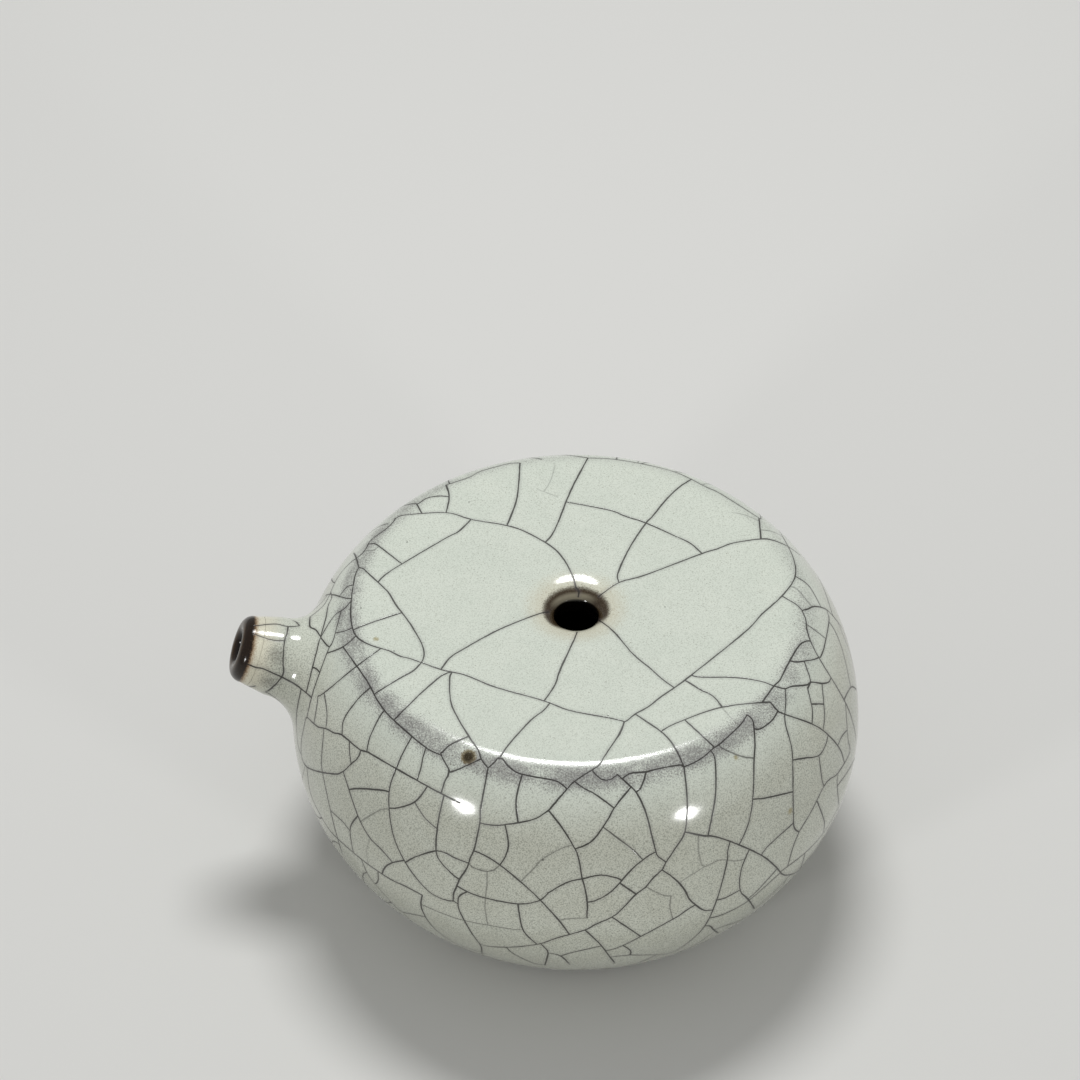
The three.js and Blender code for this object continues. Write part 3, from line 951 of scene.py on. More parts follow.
@dataclass
class Crack:
    """A chain of points on the glaze, with the glaze's normal and the crack's strength at each."""

    points: np.ndarray
    normals: np.ndarray
    strength: np.ndarray
    shortest_step: float = 0.15

    @property
    def places(self) -> np.ndarray:
        """How far along the crack each point lies, in millimetres."""
        steps = np.linalg.norm(np.diff(self.points, axis=0), axis=1)
        return np.concatenate([[0.0], np.cumsum(steps)])

    def turn_round(self) -> None:
        """Runs the crack the other way."""
        self.points, self.normals = self.points[::-1], self.normals[::-1]
        self.strength = self.strength[::-1]

    def start_at(self, first: int, place: Vector) -> None:
        """Drops the points before one of them, and moves that one to a new place."""
        gap = np.linalg.norm(self.points[first + 1] - np.array(place))
        first = min(first + (gap < self.shortest_step), len(self.points) - 2)
        self.points = np.concatenate([[tuple(place)], self.points[first + 1 :]])
        self.normals, self.strength = self.normals[first:], self.strength[first:]


def curve_through(corners: Sequence[Pixel], steps: int = 5) -> list[Pixel]:
    """A smooth curve through corners in a plane.

    Args:
        corners: The points that it passes.
        steps: Points of the curve from one corner to the next.

    Returns:
        The points of the curve.
    """
    at = np.array([corners[0], *corners, corners[-1]], float)
    curve = []
    for a, b, c, d in zip(at, at[1:], at[2:], at[3:]):
        for i in range(steps):
            t = i / steps
            point = b + 0.5 * t * (c - a + t * (2 * a - 5 * b + 4 * c - d + t * (3 * (b - c) + d - a)))
            curve.append((point[0], point[1]))
    return [*curve, (at[-1][0], at[-1][1])]


@dataclass
class CrackNet:
    """The crackle of one glazed sheet: cracks that the photograph shows, and more on the sides it hides.

    A glaze that shrinks more than its body splits into large cells first, and each later crack crosses the
    cell that is left and meets the older ones squarely.
    """

    slots: ClassVar[int] = 3
    far: ClassVar[float] = 99.0
    measured: ClassVar[float] = 15.0
    sheet: bmesh.types.BMesh
    within: Callable[[Vector], bool]
    seed: int
    sparse: int = 5
    point_step: float = 0.4
    widest_gap: float = 5.1
    join_reach: float = 1.3
    cut_back: float = 1.5
    straight: float = 0.8
    fade_length: float = 2.5
    aim_reach: tuple[float, float] = (1.3, 0.5)
    strengths: tuple[float, ...] = (1.0, 1.0, 1.0, 1.0, 0.8, 0.55)
    grow_step: float = 0.7
    longest: float = 48.0
    steady_bend: float = 0.022
    wander_bend: float = 0.02
    wander_kept: float = 0.9
    least_step: float = 0.28
    touch: float = 0.525
    head_on: float = 0.1
    seek_reach: float = 2.0
    seek_aim: float = 0.4
    seek_pull: float = 0.2
    line_reach: float = 1.7
    face_reach: float = 0.5
    no_line: float = 9.0
    tree: BVHTree = field(init=False)
    draw: random.Random = field(init=False)
    cloud: np.ndarray = field(init=False)
    cracks: list[Crack] = field(default_factory=list)

    def __post_init__(self) -> None:
        """Reads the sheet, with its faces in an order that is the same each run, as a bmesh's isn't."""
        self.sheet.verts.index_update()
        faces = []
        for face in self.sheet.faces:
            corners = [vert.index for vert in face.verts]
            first = corners.index(min(corners))
            faces.append(corners[first:] + corners[:first])
        self.tree = BVHTree.FromPolygons([vert.co for vert in self.sheet.verts], sorted(faces))
        self.draw = random.Random(self.seed)

    def add(self, points: Sequence[Vector], strength: float) -> None:
        """Lays a crack through points, at even steps and on the glaze."""
        at = np.array([tuple(p) for p in points])
        lengths = np.linalg.norm(np.diff(at, axis=0), axis=1)
        places = np.concatenate([[0.0], np.cumsum(lengths)])
        count = max(2, round(places[-1] / self.point_step) + 1)
        even = np.linspace(0.0, places[-1], count)
        at = np.stack([np.interp(even, places, at[:, i]) for i in range(3)], axis=1)
        found = [self.tree.find_nearest(Vector(p)) for p in at]
        points_on = np.array([tuple(f[0]) for f in found])
        normals = np.array([tuple(f[1]) for f in found])
        self.cracks.append(Crack(points_on, normals, np.full(count, strength)))

    def trace(self, routes: Iterable[Route], camera: "PhotoCamera") -> None:
        """Lays the cracks that the photograph shows, seen through its camera onto the glaze."""
        for route in routes:
            run: list[Vector] = []
            for pixel in curve_through(route.through):
                hit = self.tree.ray_cast(camera.eye, camera.ray(pixel))[0]
                if hit is None or (run and (hit - run[-1]).length > self.widest_gap):
                    if len(run) > 1:
                        self.add(run, route.strength)
                    run = []
                if hit is not None:
                    run.append(hit)
            if len(run) > 1:
                self.add(run, route.strength)

    def join_ends(self) -> None:
        """Ends each crack on the one that it nearly touches or just crosses, and fades the others out."""
        others = KDTree(sum(len(c.points) for c in self.cracks))
        owners = []
        for number, crack in enumerate(self.cracks):
            for point in crack.points:
                others.insert(point, len(owners))
                owners.append(number)
        others.balance()
        for number, crack in enumerate(self.cracks):
            for end in (0, -1):
                self.join_end(crack, end, lambda tip: [
                    found for found in others.find_range(tip, self.join_reach) if owners[found[1]] != number
                ])

    def join_end(self, crack: Crack, end: int, near: Callable[[Vector], list]) -> None:
        """Ends one end of a crack.

        Args:
            crack: The crack.
            end: 0 for its start, -1 for its end.
            near: Gives the points of other cracks near a place, with their distances.
        """
        if end:
            crack.turn_round()
        reach = min(round(self.join_reach * self.cut_back / self.point_step), (len(crack.points) - 1) // 2)
        found = [
            (min(hits, key=lambda hit: hit[2]), i)
            for i in range(reach + 1) if (hits := near(crack.points[i]))
        ]
        if found:
            (place, _, distance), first = min(found, key=lambda hit: hit[0][2])
            touches = distance < self.point_step
            first = first if touches else 0
            tip = Vector(crack.points[first])
            ahead = (tip - Vector(crack.points[first + 1])).normalized()
            if not touches:
                ways = [((hit[0] - tip).normalized().dot(ahead), hit[0]) for hit in near(tip)]
                straightest, place = max(ways, default=(0.0, tip), key=lambda way: way[0])
                if straightest < self.straight:
                    place = tip
            crack.start_at(first, tip + ahead * (place - tip).dot(ahead))
        elif self.within(Vector(crack.points[0])):
            places = crack.places
            fade = places / min(self.fade_length, places[-1] / 2)
            crack.strength = crack.strength * np.clip(fade, 0.0, 1.0)
        if end:
            crack.turn_round()

    def spread(self, room_at: Callable[[Vector, Vector], float]) -> int:
        """Grows cracks until no place of the sheet is further from a crack than it may be.

        Args:
            room_at: How far a place with its normal may lie from any crack.

        Returns:
            How many cracks grew.
        """
        verts = [v for v in list(self.sheet.verts)[:: self.sparse] if self.within(v.co)]
        places = np.array([tuple(v.co) for v in verts])
        room = np.array([room_at(v.co, v.normal) for v in verts])
        clear = np.full(len(places), self.far)
        for crack in self.cracks:
            self.shorten(clear, places, crack)
        grown = 0
        while True:
            ratio = clear / room
            seed = int(np.argmax(ratio))
            if ratio[seed] < 1.0:
                return grown
            crack = self.grow(Vector(places[seed]), clear[seed], room_at)
            self.cracks.append(crack)
            self.shorten(clear, places, crack)
            clear[seed] = 0.0
            grown += 1

    @classmethod
    def shorten(cls, clear: np.ndarray, places: np.ndarray, crack: Crack) -> None:
        """Lowers the clear distance of each place to that of a new crack, where the crack is nearer."""
        low, high = crack.points.min(0) - cls.measured, crack.points.max(0) + cls.measured
        near = np.flatnonzero(np.all((places > low) & (places < high), axis=1))
        some = crack.points[::2]
        gaps = np.linalg.norm(places[near, None] - some[None], axis=2).min(1)
        clear[near] = np.minimum(clear[near], gaps)

    def grow(self, seed: Vector, clear: float, room_at: Callable[[Vector, Vector], float]) -> Crack:
        """Runs a crack both ways from the middle of a cell.

        Args:
            seed: Where it starts.
            clear: How far the nearest crack is from there.
            room_at: How far a place with its normal may lie from any crack.

        Returns:
            The crack, which ends at another crack or where no crack may grow.
        """
        normal = self.tree.find_nearest(seed)[1]
        self.cloud = np.concatenate([np.zeros((0, 3)), *(c.points for c in self.cracks)])
        gaps = np.linalg.norm(self.cloud - np.array(seed), axis=1)
        near = self.cloud[gaps < clear * self.aim_reach[0] + self.aim_reach[1]]
        if len(near):
            aim = Vector(near[self.draw.randrange(len(near))]) - seed
        else:
            aim = Vector((self.draw.uniform(-1, 1), self.draw.uniform(-1, 1), self.draw.uniform(-1, 1)))
        heading = (aim - normal * aim.dot(normal)).normalized()
        arms = [self.arm(seed, heading, room_at), self.arm(seed, -heading, room_at)]
        points = arms[0][::-1] + [(seed, normal)] + arms[1]
        strength = self.draw.choice(self.strengths)
        return Crack(
            np.array([tuple(p) for p, _ in points]), np.array([tuple(n) for _, n in points]),
            np.full(len(points), strength),
        )

    def arm(
        self, seed: Vector, heading: Vector, room_at: Callable[[Vector, Vector], float]
    ) -> list[tuple[Vector, Vector]]:
        """Runs one end of a growing crack, which bends a little and turns to the older crack that it nears.

        Args:
            seed: Where it starts.
            heading: Which way it sets out.
            room_at: How far a place with its normal may lie from any crack.

        Returns:
            Its points and the glaze's normal at each.
        """
        steady, wander = self.draw.gauss(0.0, self.steady_bend), 0.0
        run, here = [], seed
        for _ in range(round(self.longest / self.grow_step)):
            wander = wander * self.wander_kept + self.draw.gauss(0.0, self.wander_bend)
            place, normal, _, _ = self.tree.find_nearest(here + heading * self.grow_step)
            stuck = (place - here).length < self.least_step
            if stuck or not self.within(place) or math.isinf(room_at(place, normal)):
                break
            run.append((place, normal))
            turn = Matrix.Rotation((steady + wander) * self.grow_step, 3, normal)
            heading = turn @ (heading - normal * heading.dot(normal)).normalized()
            here = place
            if len(self.cloud):
                gaps = np.linalg.norm(self.cloud - np.array(here), axis=1)
                nearest = int(np.argmin(gaps))
                to = Vector(self.cloud[nearest]) - here
                if gaps[nearest] < self.touch:
                    if to.dot(heading) > self.head_on:
                        run.append((here + heading * to.dot(heading), normal))
                    break
                if gaps[nearest] < self.seek_reach and to.normalized().dot(heading) > self.seek_aim:
                    heading = (heading + self.seek_pull * to.normalized()).normalized()
        return run

    def weave(self, mesh: bpy.types.Mesh) -> None:
        """Writes on each corner of a mesh where the three nearest cracks pass.

        Each crack has a vector: how far to its side the corner lies, how far past its end, and its strength.
        Across a face these change evenly, so a line much finer than the face stays sharp.
        """
        corner_total = len(mesh.loops)
        starts = np.zeros(len(mesh.polygons), np.int64)
        totals = np.zeros(len(mesh.polygons), np.int64)
        corners = np.zeros(corner_total, np.int64)
        coordinates = np.zeros(len(mesh.vertices) * 3)
        centres = np.zeros(len(mesh.polygons) * 3)
        mesh.polygons.foreach_get("loop_start", starts)
        mesh.polygons.foreach_get("loop_total", totals)
        mesh.loops.foreach_get("vertex_index", corners)
        mesh.vertices.foreach_get("co", coordinates)
        mesh.polygons.foreach_get("center", centres)
        places = coordinates.reshape(-1, 3)[corners] / MM
        centres = centres.reshape(-1, 3) / MM
        nearest = np.full((len(starts), self.slots), self.line_reach)
        woven = np.zeros((self.slots, corner_total, 3))
        woven[:, :, :2] = self.no_line
        finder = KDTree(len(centres))
        for number, centre in enumerate(centres):
            finder.insert(centre, number)
        finder.balance()
        reach = self.line_reach + self.face_reach
        for crack in self.cracks:
            close = {hit[1] for point in crack.points[::2] for hit in finder.find_range(point, reach)}
            faces = np.array(sorted(close), np.int64)
            gaps = self.measure(crack, centres[faces])[3]
            slot = np.argmax(nearest[faces], axis=1)
            taken = gaps < nearest[faces, slot]
            faces, gaps, slot = faces[taken], gaps[taken], slot[taken]
            if not len(faces):
                continue
            nearest[faces, slot] = gaps
            own = np.concatenate([np.arange(starts[f], starts[f] + totals[f]) for f in faces])
            own_slot = np.repeat(slot, totals[faces])
            side, past, strength, _ = self.measure(crack, places[own])
            woven[own_slot, own] = np.stack([side, past, strength], axis=1)
        for i in range(self.slots):
            layer = mesh.attributes.new(f"crack_{i}", "FLOAT_VECTOR", "CORNER")
            layer.data.foreach_set("vector", woven[i].astype(np.float32).ravel())

    @staticmethod
    def measure(crack: Crack, places: np.ndarray) -> tuple[np.ndarray, np.ndarray, np.ndarray, np.ndarray]:
        """Measures places against a crack.

        Args:
            crack: The crack.
            places: Points in millimetres.

        Returns:
            For each place its distance to the side, its distance past the crack's end (below 0 before it),
            the strength there, and its distance from the crack.
        """
        start, run = crack.points[:-1], np.diff(crack.points, axis=0)
        length = np.maximum(np.linalg.norm(run, axis=1), SHORTEST)
        along = run / length[:, None]
        offset = places[:, None] - start[None]
        share = np.einsum("pks,ks->pk", offset, along) / length
        held = np.clip(share, 0.0, 1.0)
        foot = start + held[..., None] * run
        gap = np.linalg.norm(places[:, None] - foot, axis=2)
        best = np.argmin(gap, axis=1)
        row = np.arange(len(places))
        side_way = np.cross(crack.normals[:-1], along)[best]
        away = places - foot[row, best]
        side = np.einsum("ps,ps->p", away, side_way)
        free = share[row, best] * length[best]
        position = crack.places[best] + np.where(
            (best == 0) & (free < 0) | (best == len(length) - 1) & (free > length[best]),
            free, held[row, best] * length[best],
        )
        past = np.maximum(-position, position - crack.places[-1])
        strength = np.interp(position, crack.places, crack.strength)
        return side, past, strength, gap[row, best]


# Finishes


def linear(colour: str) -> tuple[float, float, float, float]:
    """Turns an sRGB hex colour into Blender's linear one.

    Args:
        colour: Such as "#cdd4c8".

    Returns:
        Red, green, blue and an alpha of 1.
    """
    channels = [int(colour[i : i + 2], 16) / 255 for i in (1, 3, 5)]
    bent = [c / 12.92 if c <= 0.04045 else ((c + 0.055) / 1.055) ** 2.4 for c in channels]
    return bent[0], bent[1], bent[2], 1.0


def add_node(
    tree: bpy.types.NodeTree, kind: str, inputs: dict[str | int, object] | None = None, **settings: object
) -> bpy.types.Node:
    """Adds a node with its settings and links.

    Args:
        tree: The node tree.
        kind: The node's type, such as "ShaderNodeMath".
        inputs: A value, or a socket to link from, for each input by name or number.
        settings: The node's own settings.

    Returns:
        The node.
    """
    node = tree.nodes.new(kind)
    for name, value in settings.items():
        setattr(node, name, value)
    for name, value in (inputs or {}).items():
        if isinstance(value, Socket):
            tree.links.new(value, node.inputs[name])
        else:
            node.inputs[name].default_value = value
    return node


@dataclass(frozen=True)
class Mark:
    """A blemish of the glaze, where the photograph shows it, with its radius in millimetres."""

    name: str
    pixel: Pixel
    radius: float


MARKS = {
    "iron": (Mark("by_the_shoulder", (468.5, 756.8), 0.95),),
    "stain": (
        Mark("by_the_spout", (376, 639), 0.5), Mark("on_the_right_wall", (790.4, 811), 0.6),
        Mark("on_the_right_shoulder", (736, 757.5), 0.45),
    ),
    # Grey grains over the spout's lower flank and its underside.
    "spout_grey_patch": (Mark("on_the_spout", (276, 655), 1.9), Mark("under_the_spout", (268, 682), 1.7)),
    "pinhole": (
        Mark("far_left", (407, 542), 0.15), Mark("far_top", (469, 502), 0.13),
        Mark("left_top", (361, 608), 0.15), Mark("left_front", (394, 651), 0.13),
        Mark("front_top", (608, 715.5), 0.15), Mark("right_top", (665, 607), 0.13),
        Mark("left_wall", (376, 765), 0.13), Mark("front_wall", (543, 860), 0.2),
    ),
}

# The size in millimetres and the detail of each noise. The glaze's own grain is finer than the smallest of
# them, which is drawn as coarse as it needs to be to show.
NOISES = {
    "grit": (0.2, 1.0), "ripple": (0.7, 2.0), "wander": (1.3, 2.0), "width": (3.5, 2.0), "patch": (4.5, 2.0),
    "cloud": (7.0, 3.0), "swell": (9.0, 1.0),
}


@dataclass(frozen=True)
class Limit:
    """A measure of the glaze, with the value where a layer has faded out and the one where it is full."""

    measure: str
    out: float
    full: float


@dataclass(frozen=True)
class Layer:
    """A tone of the glaze, laid over those before it where all its limits let it.

    Its grain is how much it breaks up into grains where it thins out.
    """

    name: str
    tone: str
    share: float
    limits: tuple[Limit, ...]
    grain: float = 0.0


@dataclass
class CrackledGlaze:
    """Celadon, a feldspar glaze fired in a smoky kiln: milky grey-green, glossy, and full of fine grain.

    Its crackle is dark because ash and tea have been rubbed into it. Where the glaze is thin the grey clay
    comes through, in violet grains along the shoulder and as rust round the filling hole and at its edges.
    """

    name: str
    form: VesselForm
    camera: "PhotoCamera"
    sheet: BVHTree
    colour: str = "#d7ded2"
    roughness: float = 0.1
    ior: float = 1.5
    shoulder: Point2 = (34.3, 0.85)
    crack_width: tuple[float, float] = (0.08, 0.15)
    crack_wander: float = 0.12
    crack_end: float = 0.12
    lip_wander: float = 0.9
    grain_start: float = 0.7
    grain_run: float = 0.8
    no_mark: float = 9.0
    # How much rougher each of these makes the glaze, and by how many millimetres each lifts or sinks it.
    gloss_lost: ClassVar[dict[str, float]] = {"violet": 0.2, "cloud": 0.03, "crack": 0.25}
    relief: ClassVar[dict[str, float]] = {
        "swell": 0.12, "ripple": 0.0025, "crack": -0.02, "pinhole": -0.05, "violet": -0.006,
    }

    def layers(self) -> tuple[Layer, ...]:
        """The tones of the glaze, from the lowest up, some of them painted shade: on the sides, in the throat
        and in the bore.
        """
        form = self.form
        top, throat, (edge, heel) = form.top_height, form.throat_radius, form.lower_wall()[-1]
        off_top = Limit("height", top - 1.0, top - 9.0)
        speckled, facing = Limit("grit", 0.42, 0.68), Limit("side", -60.0, 20.0)
        by_hole, behind = Limit("height", top - 8.0, top - 6.0), Limit("far", -4.0, -1.6)
        bore = form.bore_radius
        return (
            # The sides below the top are darker and yellower than it: partly the glaze's own tone, partly
            # painted shade where the sides take less light than the top.
            Layer("wall", "#d1d3c4", 1.0, (off_top,)),
            Layer("cloud", "#e2e7db", 0.35, (Limit("cloud", 0.32, 0.68),)),
            Layer("grain", "#8d9286", 0.3, (speckled,)),
            Layer("wall_grain", "#8a8d80", 0.42, (speckled, off_top)),
            Layer("cream", "#e9dfc4", 0.5, (Limit("along", -4.5, -0.8), Limit("off_axis", 9.0, 7.0))),
            # Grey grains darken the spout's lower flank and its underside.
            Layer("spout_grey_patch", "#6f6c64", 0.6, (Limit("spout_grey_patch", 1.5, 0.0),), grain=1.4),
            Layer("violet_veil", "#918b8e", 0.25, (
                Limit("shoulder", 3.4, 0.4), facing, Limit("patch", 0.0, 0.7))),
            Layer("violet", "#544d51", 0.68, (
                Limit("shoulder", 4.0, 0.4), facing, Limit("patch", -0.1, 0.65)), grain=1.9),
            Layer("warm", "#c9b792", 0.35, (
                by_hole, Limit("radius", throat + 6.5, throat + 1.5)), grain=1.0),
            Layer("rust_veil", "#463214", 0.9, (
                by_hole, behind, Limit("radius", throat + 2.1, throat + 1.2))),
            Layer("rust", "#281b09", 0.85, (
                by_hole, behind, Limit("radius", throat + 2.6, throat + 1.0)), grain=1.3),
            Layer("in_throat", "#918b77", 0.8, (
                by_hole, Limit("radius", throat + 1.2, throat + 0.6), Limit("far", 1.4, 3.6))),
            Layer("foot_edge", "#5c4a2c", 0.6, (
                Limit("height", heel + 1.0, heel + 0.1), Limit("radius", edge - 5.0, edge - 3.0)), grain=0.8),
            Layer("stain", "#97863f", 0.6, (Limit("stain", 1.5, 0.2),), grain=0.8),
            Layer("iron_edge", "#75622e", 0.75, (Limit("iron", 1.6, 0.9),), grain=0.9),
            Layer("iron", "#2b2109", 0.97, (Limit("iron", 1.35, 0.4),), grain=0.8),
            Layer("pinhole", "#3a3833", 0.6, (Limit("pinhole", 1.25, 0.55),)),
            Layer("halo", "#5f5862", 0.2, (Limit("halo", 0.0, 1.0),)),
            Layer("amber", "#8a5c1f", 0.85, (Limit("lip", -0.35, 1.1),), grain=0.7),
            Layer("crack", "#272420", 0.92, (Limit("crack", 0.0, 1.0),)),
            Layer("burnt", "#170e07", 0.98, (Limit("lip", 0.3, 1.1),), grain=0.6),
            Layer("mouth", "#4d3717", 0.8, (Limit("along", 1.5, 1.75), Limit("grit", 0.35, 0.6))),
            # Painted shade: the bore inside the spout is painted near black, as the shadow within it.
            Layer("bore", "#0c0907", 0.95, (
                Limit("off_axis", bore + 0.5, bore + 0.1), Limit("along", -20.0, -19.0))),
            # Painted shade: the wall of the throat below the roll is painted near black, as the deep shadow
            # down the filling hole.
            Layer("throat", "#0c0907", 1.0, (
                by_hole, Limit("height", top - 1.2, top - 1.6),
                Limit("radius", throat + 0.3, throat + 0.12))),
        )

    def measures(self, tree: bpy.types.NodeTree, mm: Socket) -> dict[str, Socket]:
        """Builds what the layers are limited by.

        Args:
            tree: The material's nodes.
            mm: The place on the object, in millimetres.

        Returns:
            A socket for each measure.
        """
        form = self.form
        found = {
            name: add_node(tree, "ShaderNodeTexNoise", {
                "Vector": mm, "Scale": 1 / size, "Detail": detail, "Roughness": 0.6}).outputs["Fac"]
            for name, (size, detail) in NOISES.items()
        }
        tilt = math.radians(form.spout_tilt)
        axis = (-math.cos(tilt), 0.0, math.sin(tilt))
        found["mm"] = mm
        for name, operation, place, other in (
            ("on_axis", "SUBTRACT", "mm", (form.axis_x, 0, 0)), ("level", "MULTIPLY", "on_axis", (1, 1, 0)),
            ("from_lip", "SUBTRACT", "mm", form.spout_place.translation),
            ("across", "CROSS_PRODUCT", "from_lip", axis),
            ("height", "DOT_PRODUCT", "mm", (0, 0, 1)), ("radius", "LENGTH", "level", (0, 0, 0)),
            ("side", "DOT_PRODUCT", "level", (-0.5, -0.86, 0)),
            ("far", "DOT_PRODUCT", "level", (-0.2, 0.98, 0)),
            ("along", "DOT_PRODUCT", "from_lip", axis), ("off_axis", "LENGTH", "across", (0, 0, 0)),
        ):
            made = add_node(tree, "ShaderNodeVectorMath", {0: found[place], 1: other}, operation=operation)
            found[name] = made.outputs["Value" if operation in ("DOT_PRODUCT", "LENGTH") else "Vector"]
        section = add_node(tree, "ShaderNodeCombineXYZ", {"X": found["radius"], "Z": found["height"]})
        turn = (self.shoulder[0], 0.0, form.top_height - self.shoulder[1])
        found["shoulder"] = add_node(tree, "ShaderNodeVectorMath", {
            0: section.outputs[0], 1: turn}, operation="DISTANCE").outputs["Value"]
        found["lip"] = add_node(tree, "ShaderNodeMath", {
            0: found["cloud"], 1: self.lip_wander, 2: found["along"]}, operation="MULTIPLY_ADD").outputs[0]
        for name, marks in MARKS.items():
            found[name] = self.nearest(tree, mm, marks)
        return found | self.cracks(tree, found)

    def nearest(self, tree: bpy.types.NodeTree, mm: Socket, marks: Sequence[Mark]) -> Socket | float:
        """How far the nearest of some marks is, in its own radii."""
        least: Socket | float = self.no_mark
        for mark in marks:
            place = self.sheet.ray_cast(self.camera.eye, self.camera.ray(mark.pixel))[0]
            away = add_node(tree, "ShaderNodeVectorMath", {0: mm, 1: place}, operation="DISTANCE")
            radii = add_node(
                tree, "ShaderNodeMath", {0: away.outputs["Value"], 1: mark.radius}, operation="DIVIDE")
            least = add_node(
                tree, "ShaderNodeMath", {0: least, 1: radii.outputs[0]}, operation="MINIMUM").outputs[0]
        return least

    def cracks(self, tree: bpy.types.NodeTree, found: dict[str, Socket]) -> dict[str, Socket | float]:
        """The crack lines and the faint stain along them, from the distances that the mesh carries."""
        wander = add_node(tree, "ShaderNodeMath", {
            0: found["wander"], 1: self.crack_wander, 2: -self.crack_wander / 2}, operation="MULTIPLY_ADD")
        width = add_node(tree, "ShaderNodeMapRange", {
            "Value": found["width"], "From Min": 0.3, "From Max": 0.7,
            "To Min": self.crack_width[0], "To Max": self.crack_width[1]})
        lines: dict[str, Socket | float] = {"crack": 0.0, "halo": 0.0}
        for i in range(CrackNet.slots):
            carried = add_node(tree, "ShaderNodeAttribute", attribute_name=f"crack_{i}").outputs["Vector"]
            parts = add_node(tree, "ShaderNodeSeparateXYZ", {0: carried}).outputs
            side = add_node(tree, "ShaderNodeMath", {0: parts["X"], 1: wander.outputs[0]}, operation="ADD")
            aside = add_node(tree, "ShaderNodeMath", {0: side.outputs[0]}, operation="ABSOLUTE").outputs[0]
            widths = add_node(tree, "ShaderNodeMath", {0: aside, 1: width.outputs[0]}, operation="DIVIDE")
            ended = add_node(tree, "ShaderNodeMapRange", {
                "Value": parts["Y"], "From Min": self.crack_end, "From Max": 0.0})
            power = add_node(
                tree, "ShaderNodeMath", {0: ended.outputs[0], 1: parts["Z"]}, operation="MULTIPLY")
            for name, value, out, full in (
                ("crack", widths.outputs[0], 1.5, 0.5), ("halo", aside, 0.75, 0.05),
            ):
                near = add_node(tree, "ShaderNodeMapRange", {
                    "Value": value, "From Min": out, "From Max": full}, interpolation_type="SMOOTHSTEP")
                dark = add_node(tree, "ShaderNodeMath", {
                    0: near.outputs[0], 1: power.outputs[0]}, operation="MULTIPLY")
                lines[name] = add_node(tree, "ShaderNodeMath", {
                    0: lines[name], 1: dark.outputs[0]}, operation="MAXIMUM").outputs[0]
        return lines

    def mask(self, tree: bpy.types.NodeTree, found: dict[str, Socket], layer: Layer) -> Socket:
        """Builds where a layer lies, from 0 to 1."""
        here: Socket | float = 1.0
        for limit in layer.limits:
            part = add_node(tree, "ShaderNodeMapRange", {
                "Value": found[limit.measure], "From Min": limit.out, "From Max": limit.full,
            }, interpolation_type="SMOOTHSTEP").outputs[0]
            here = add_node(tree, "ShaderNodeMath", {0: here, 1: part}, operation="MULTIPLY").outputs[0]
        if layer.grain:
            broken = add_node(tree, "ShaderNodeMath", {
                0: found["grit"], 1: layer.grain, 2: here}, operation="MULTIPLY_ADD").outputs[0]
            start = self.grain_start * layer.grain
            here = add_node(tree, "ShaderNodeMapRange", {
                "Value": broken, "From Min": start, "From Max": start + self.grain_run}).outputs[0]
        return here

    def build(self) -> bpy.types.Material:
        """Makes the material."""
        material = bpy.data.materials.new(self.name)
        material.use_nodes = True
        tree = material.node_tree
        shader = tree.nodes["Principled BSDF"]
        place = add_node(tree, "ShaderNodeTexCoord").outputs["Object"]
        mm = add_node(tree, "ShaderNodeVectorMath", {0: place, "Scale": 1 / MM}, operation="SCALE")
        found = self.measures(tree, mm.outputs[0])
        colour: Socket | tuple = linear(self.colour)
        masks: dict[str, Socket] = {}
        for layer in self.layers():
            masks[layer.name] = self.mask(tree, found, layer)
            factor = add_node(tree, "ShaderNodeMath", {
                0: masks[layer.name], 1: layer.share}, operation="MULTIPLY").outputs[0]
            colour = add_node(tree, "ShaderNodeMix", {
                0: factor, 6: colour, 7: linear(layer.tone)}, data_type="RGBA").outputs[2]
        tree.links.new(colour, shader.inputs["Base Color"])
        shader.inputs["IOR"].default_value = self.ior
        roughness: Socket | float = self.roughness
        for name, weight in self.gloss_lost.items():
            roughness = add_node(tree, "ShaderNodeMath", {
                0: masks[name], 1: weight, 2: roughness}, operation="MULTIPLY_ADD").outputs[0]
        tree.links.new(roughness, shader.inputs["Roughness"])
        height: Socket | float = 0.0
        for name, weight in self.relief.items():
            height = add_node(tree, "ShaderNodeMath", {
                0: (found | masks)[name], 1: weight, 2: height}, operation="MULTIPLY_ADD").outputs[0]
        bump = add_node(tree, "ShaderNodeBump", {"Height": height, "Distance": MM, "Strength": 1.0})
        tree.links.new(bump.outputs[0], shader.inputs["Normal"])
        return material


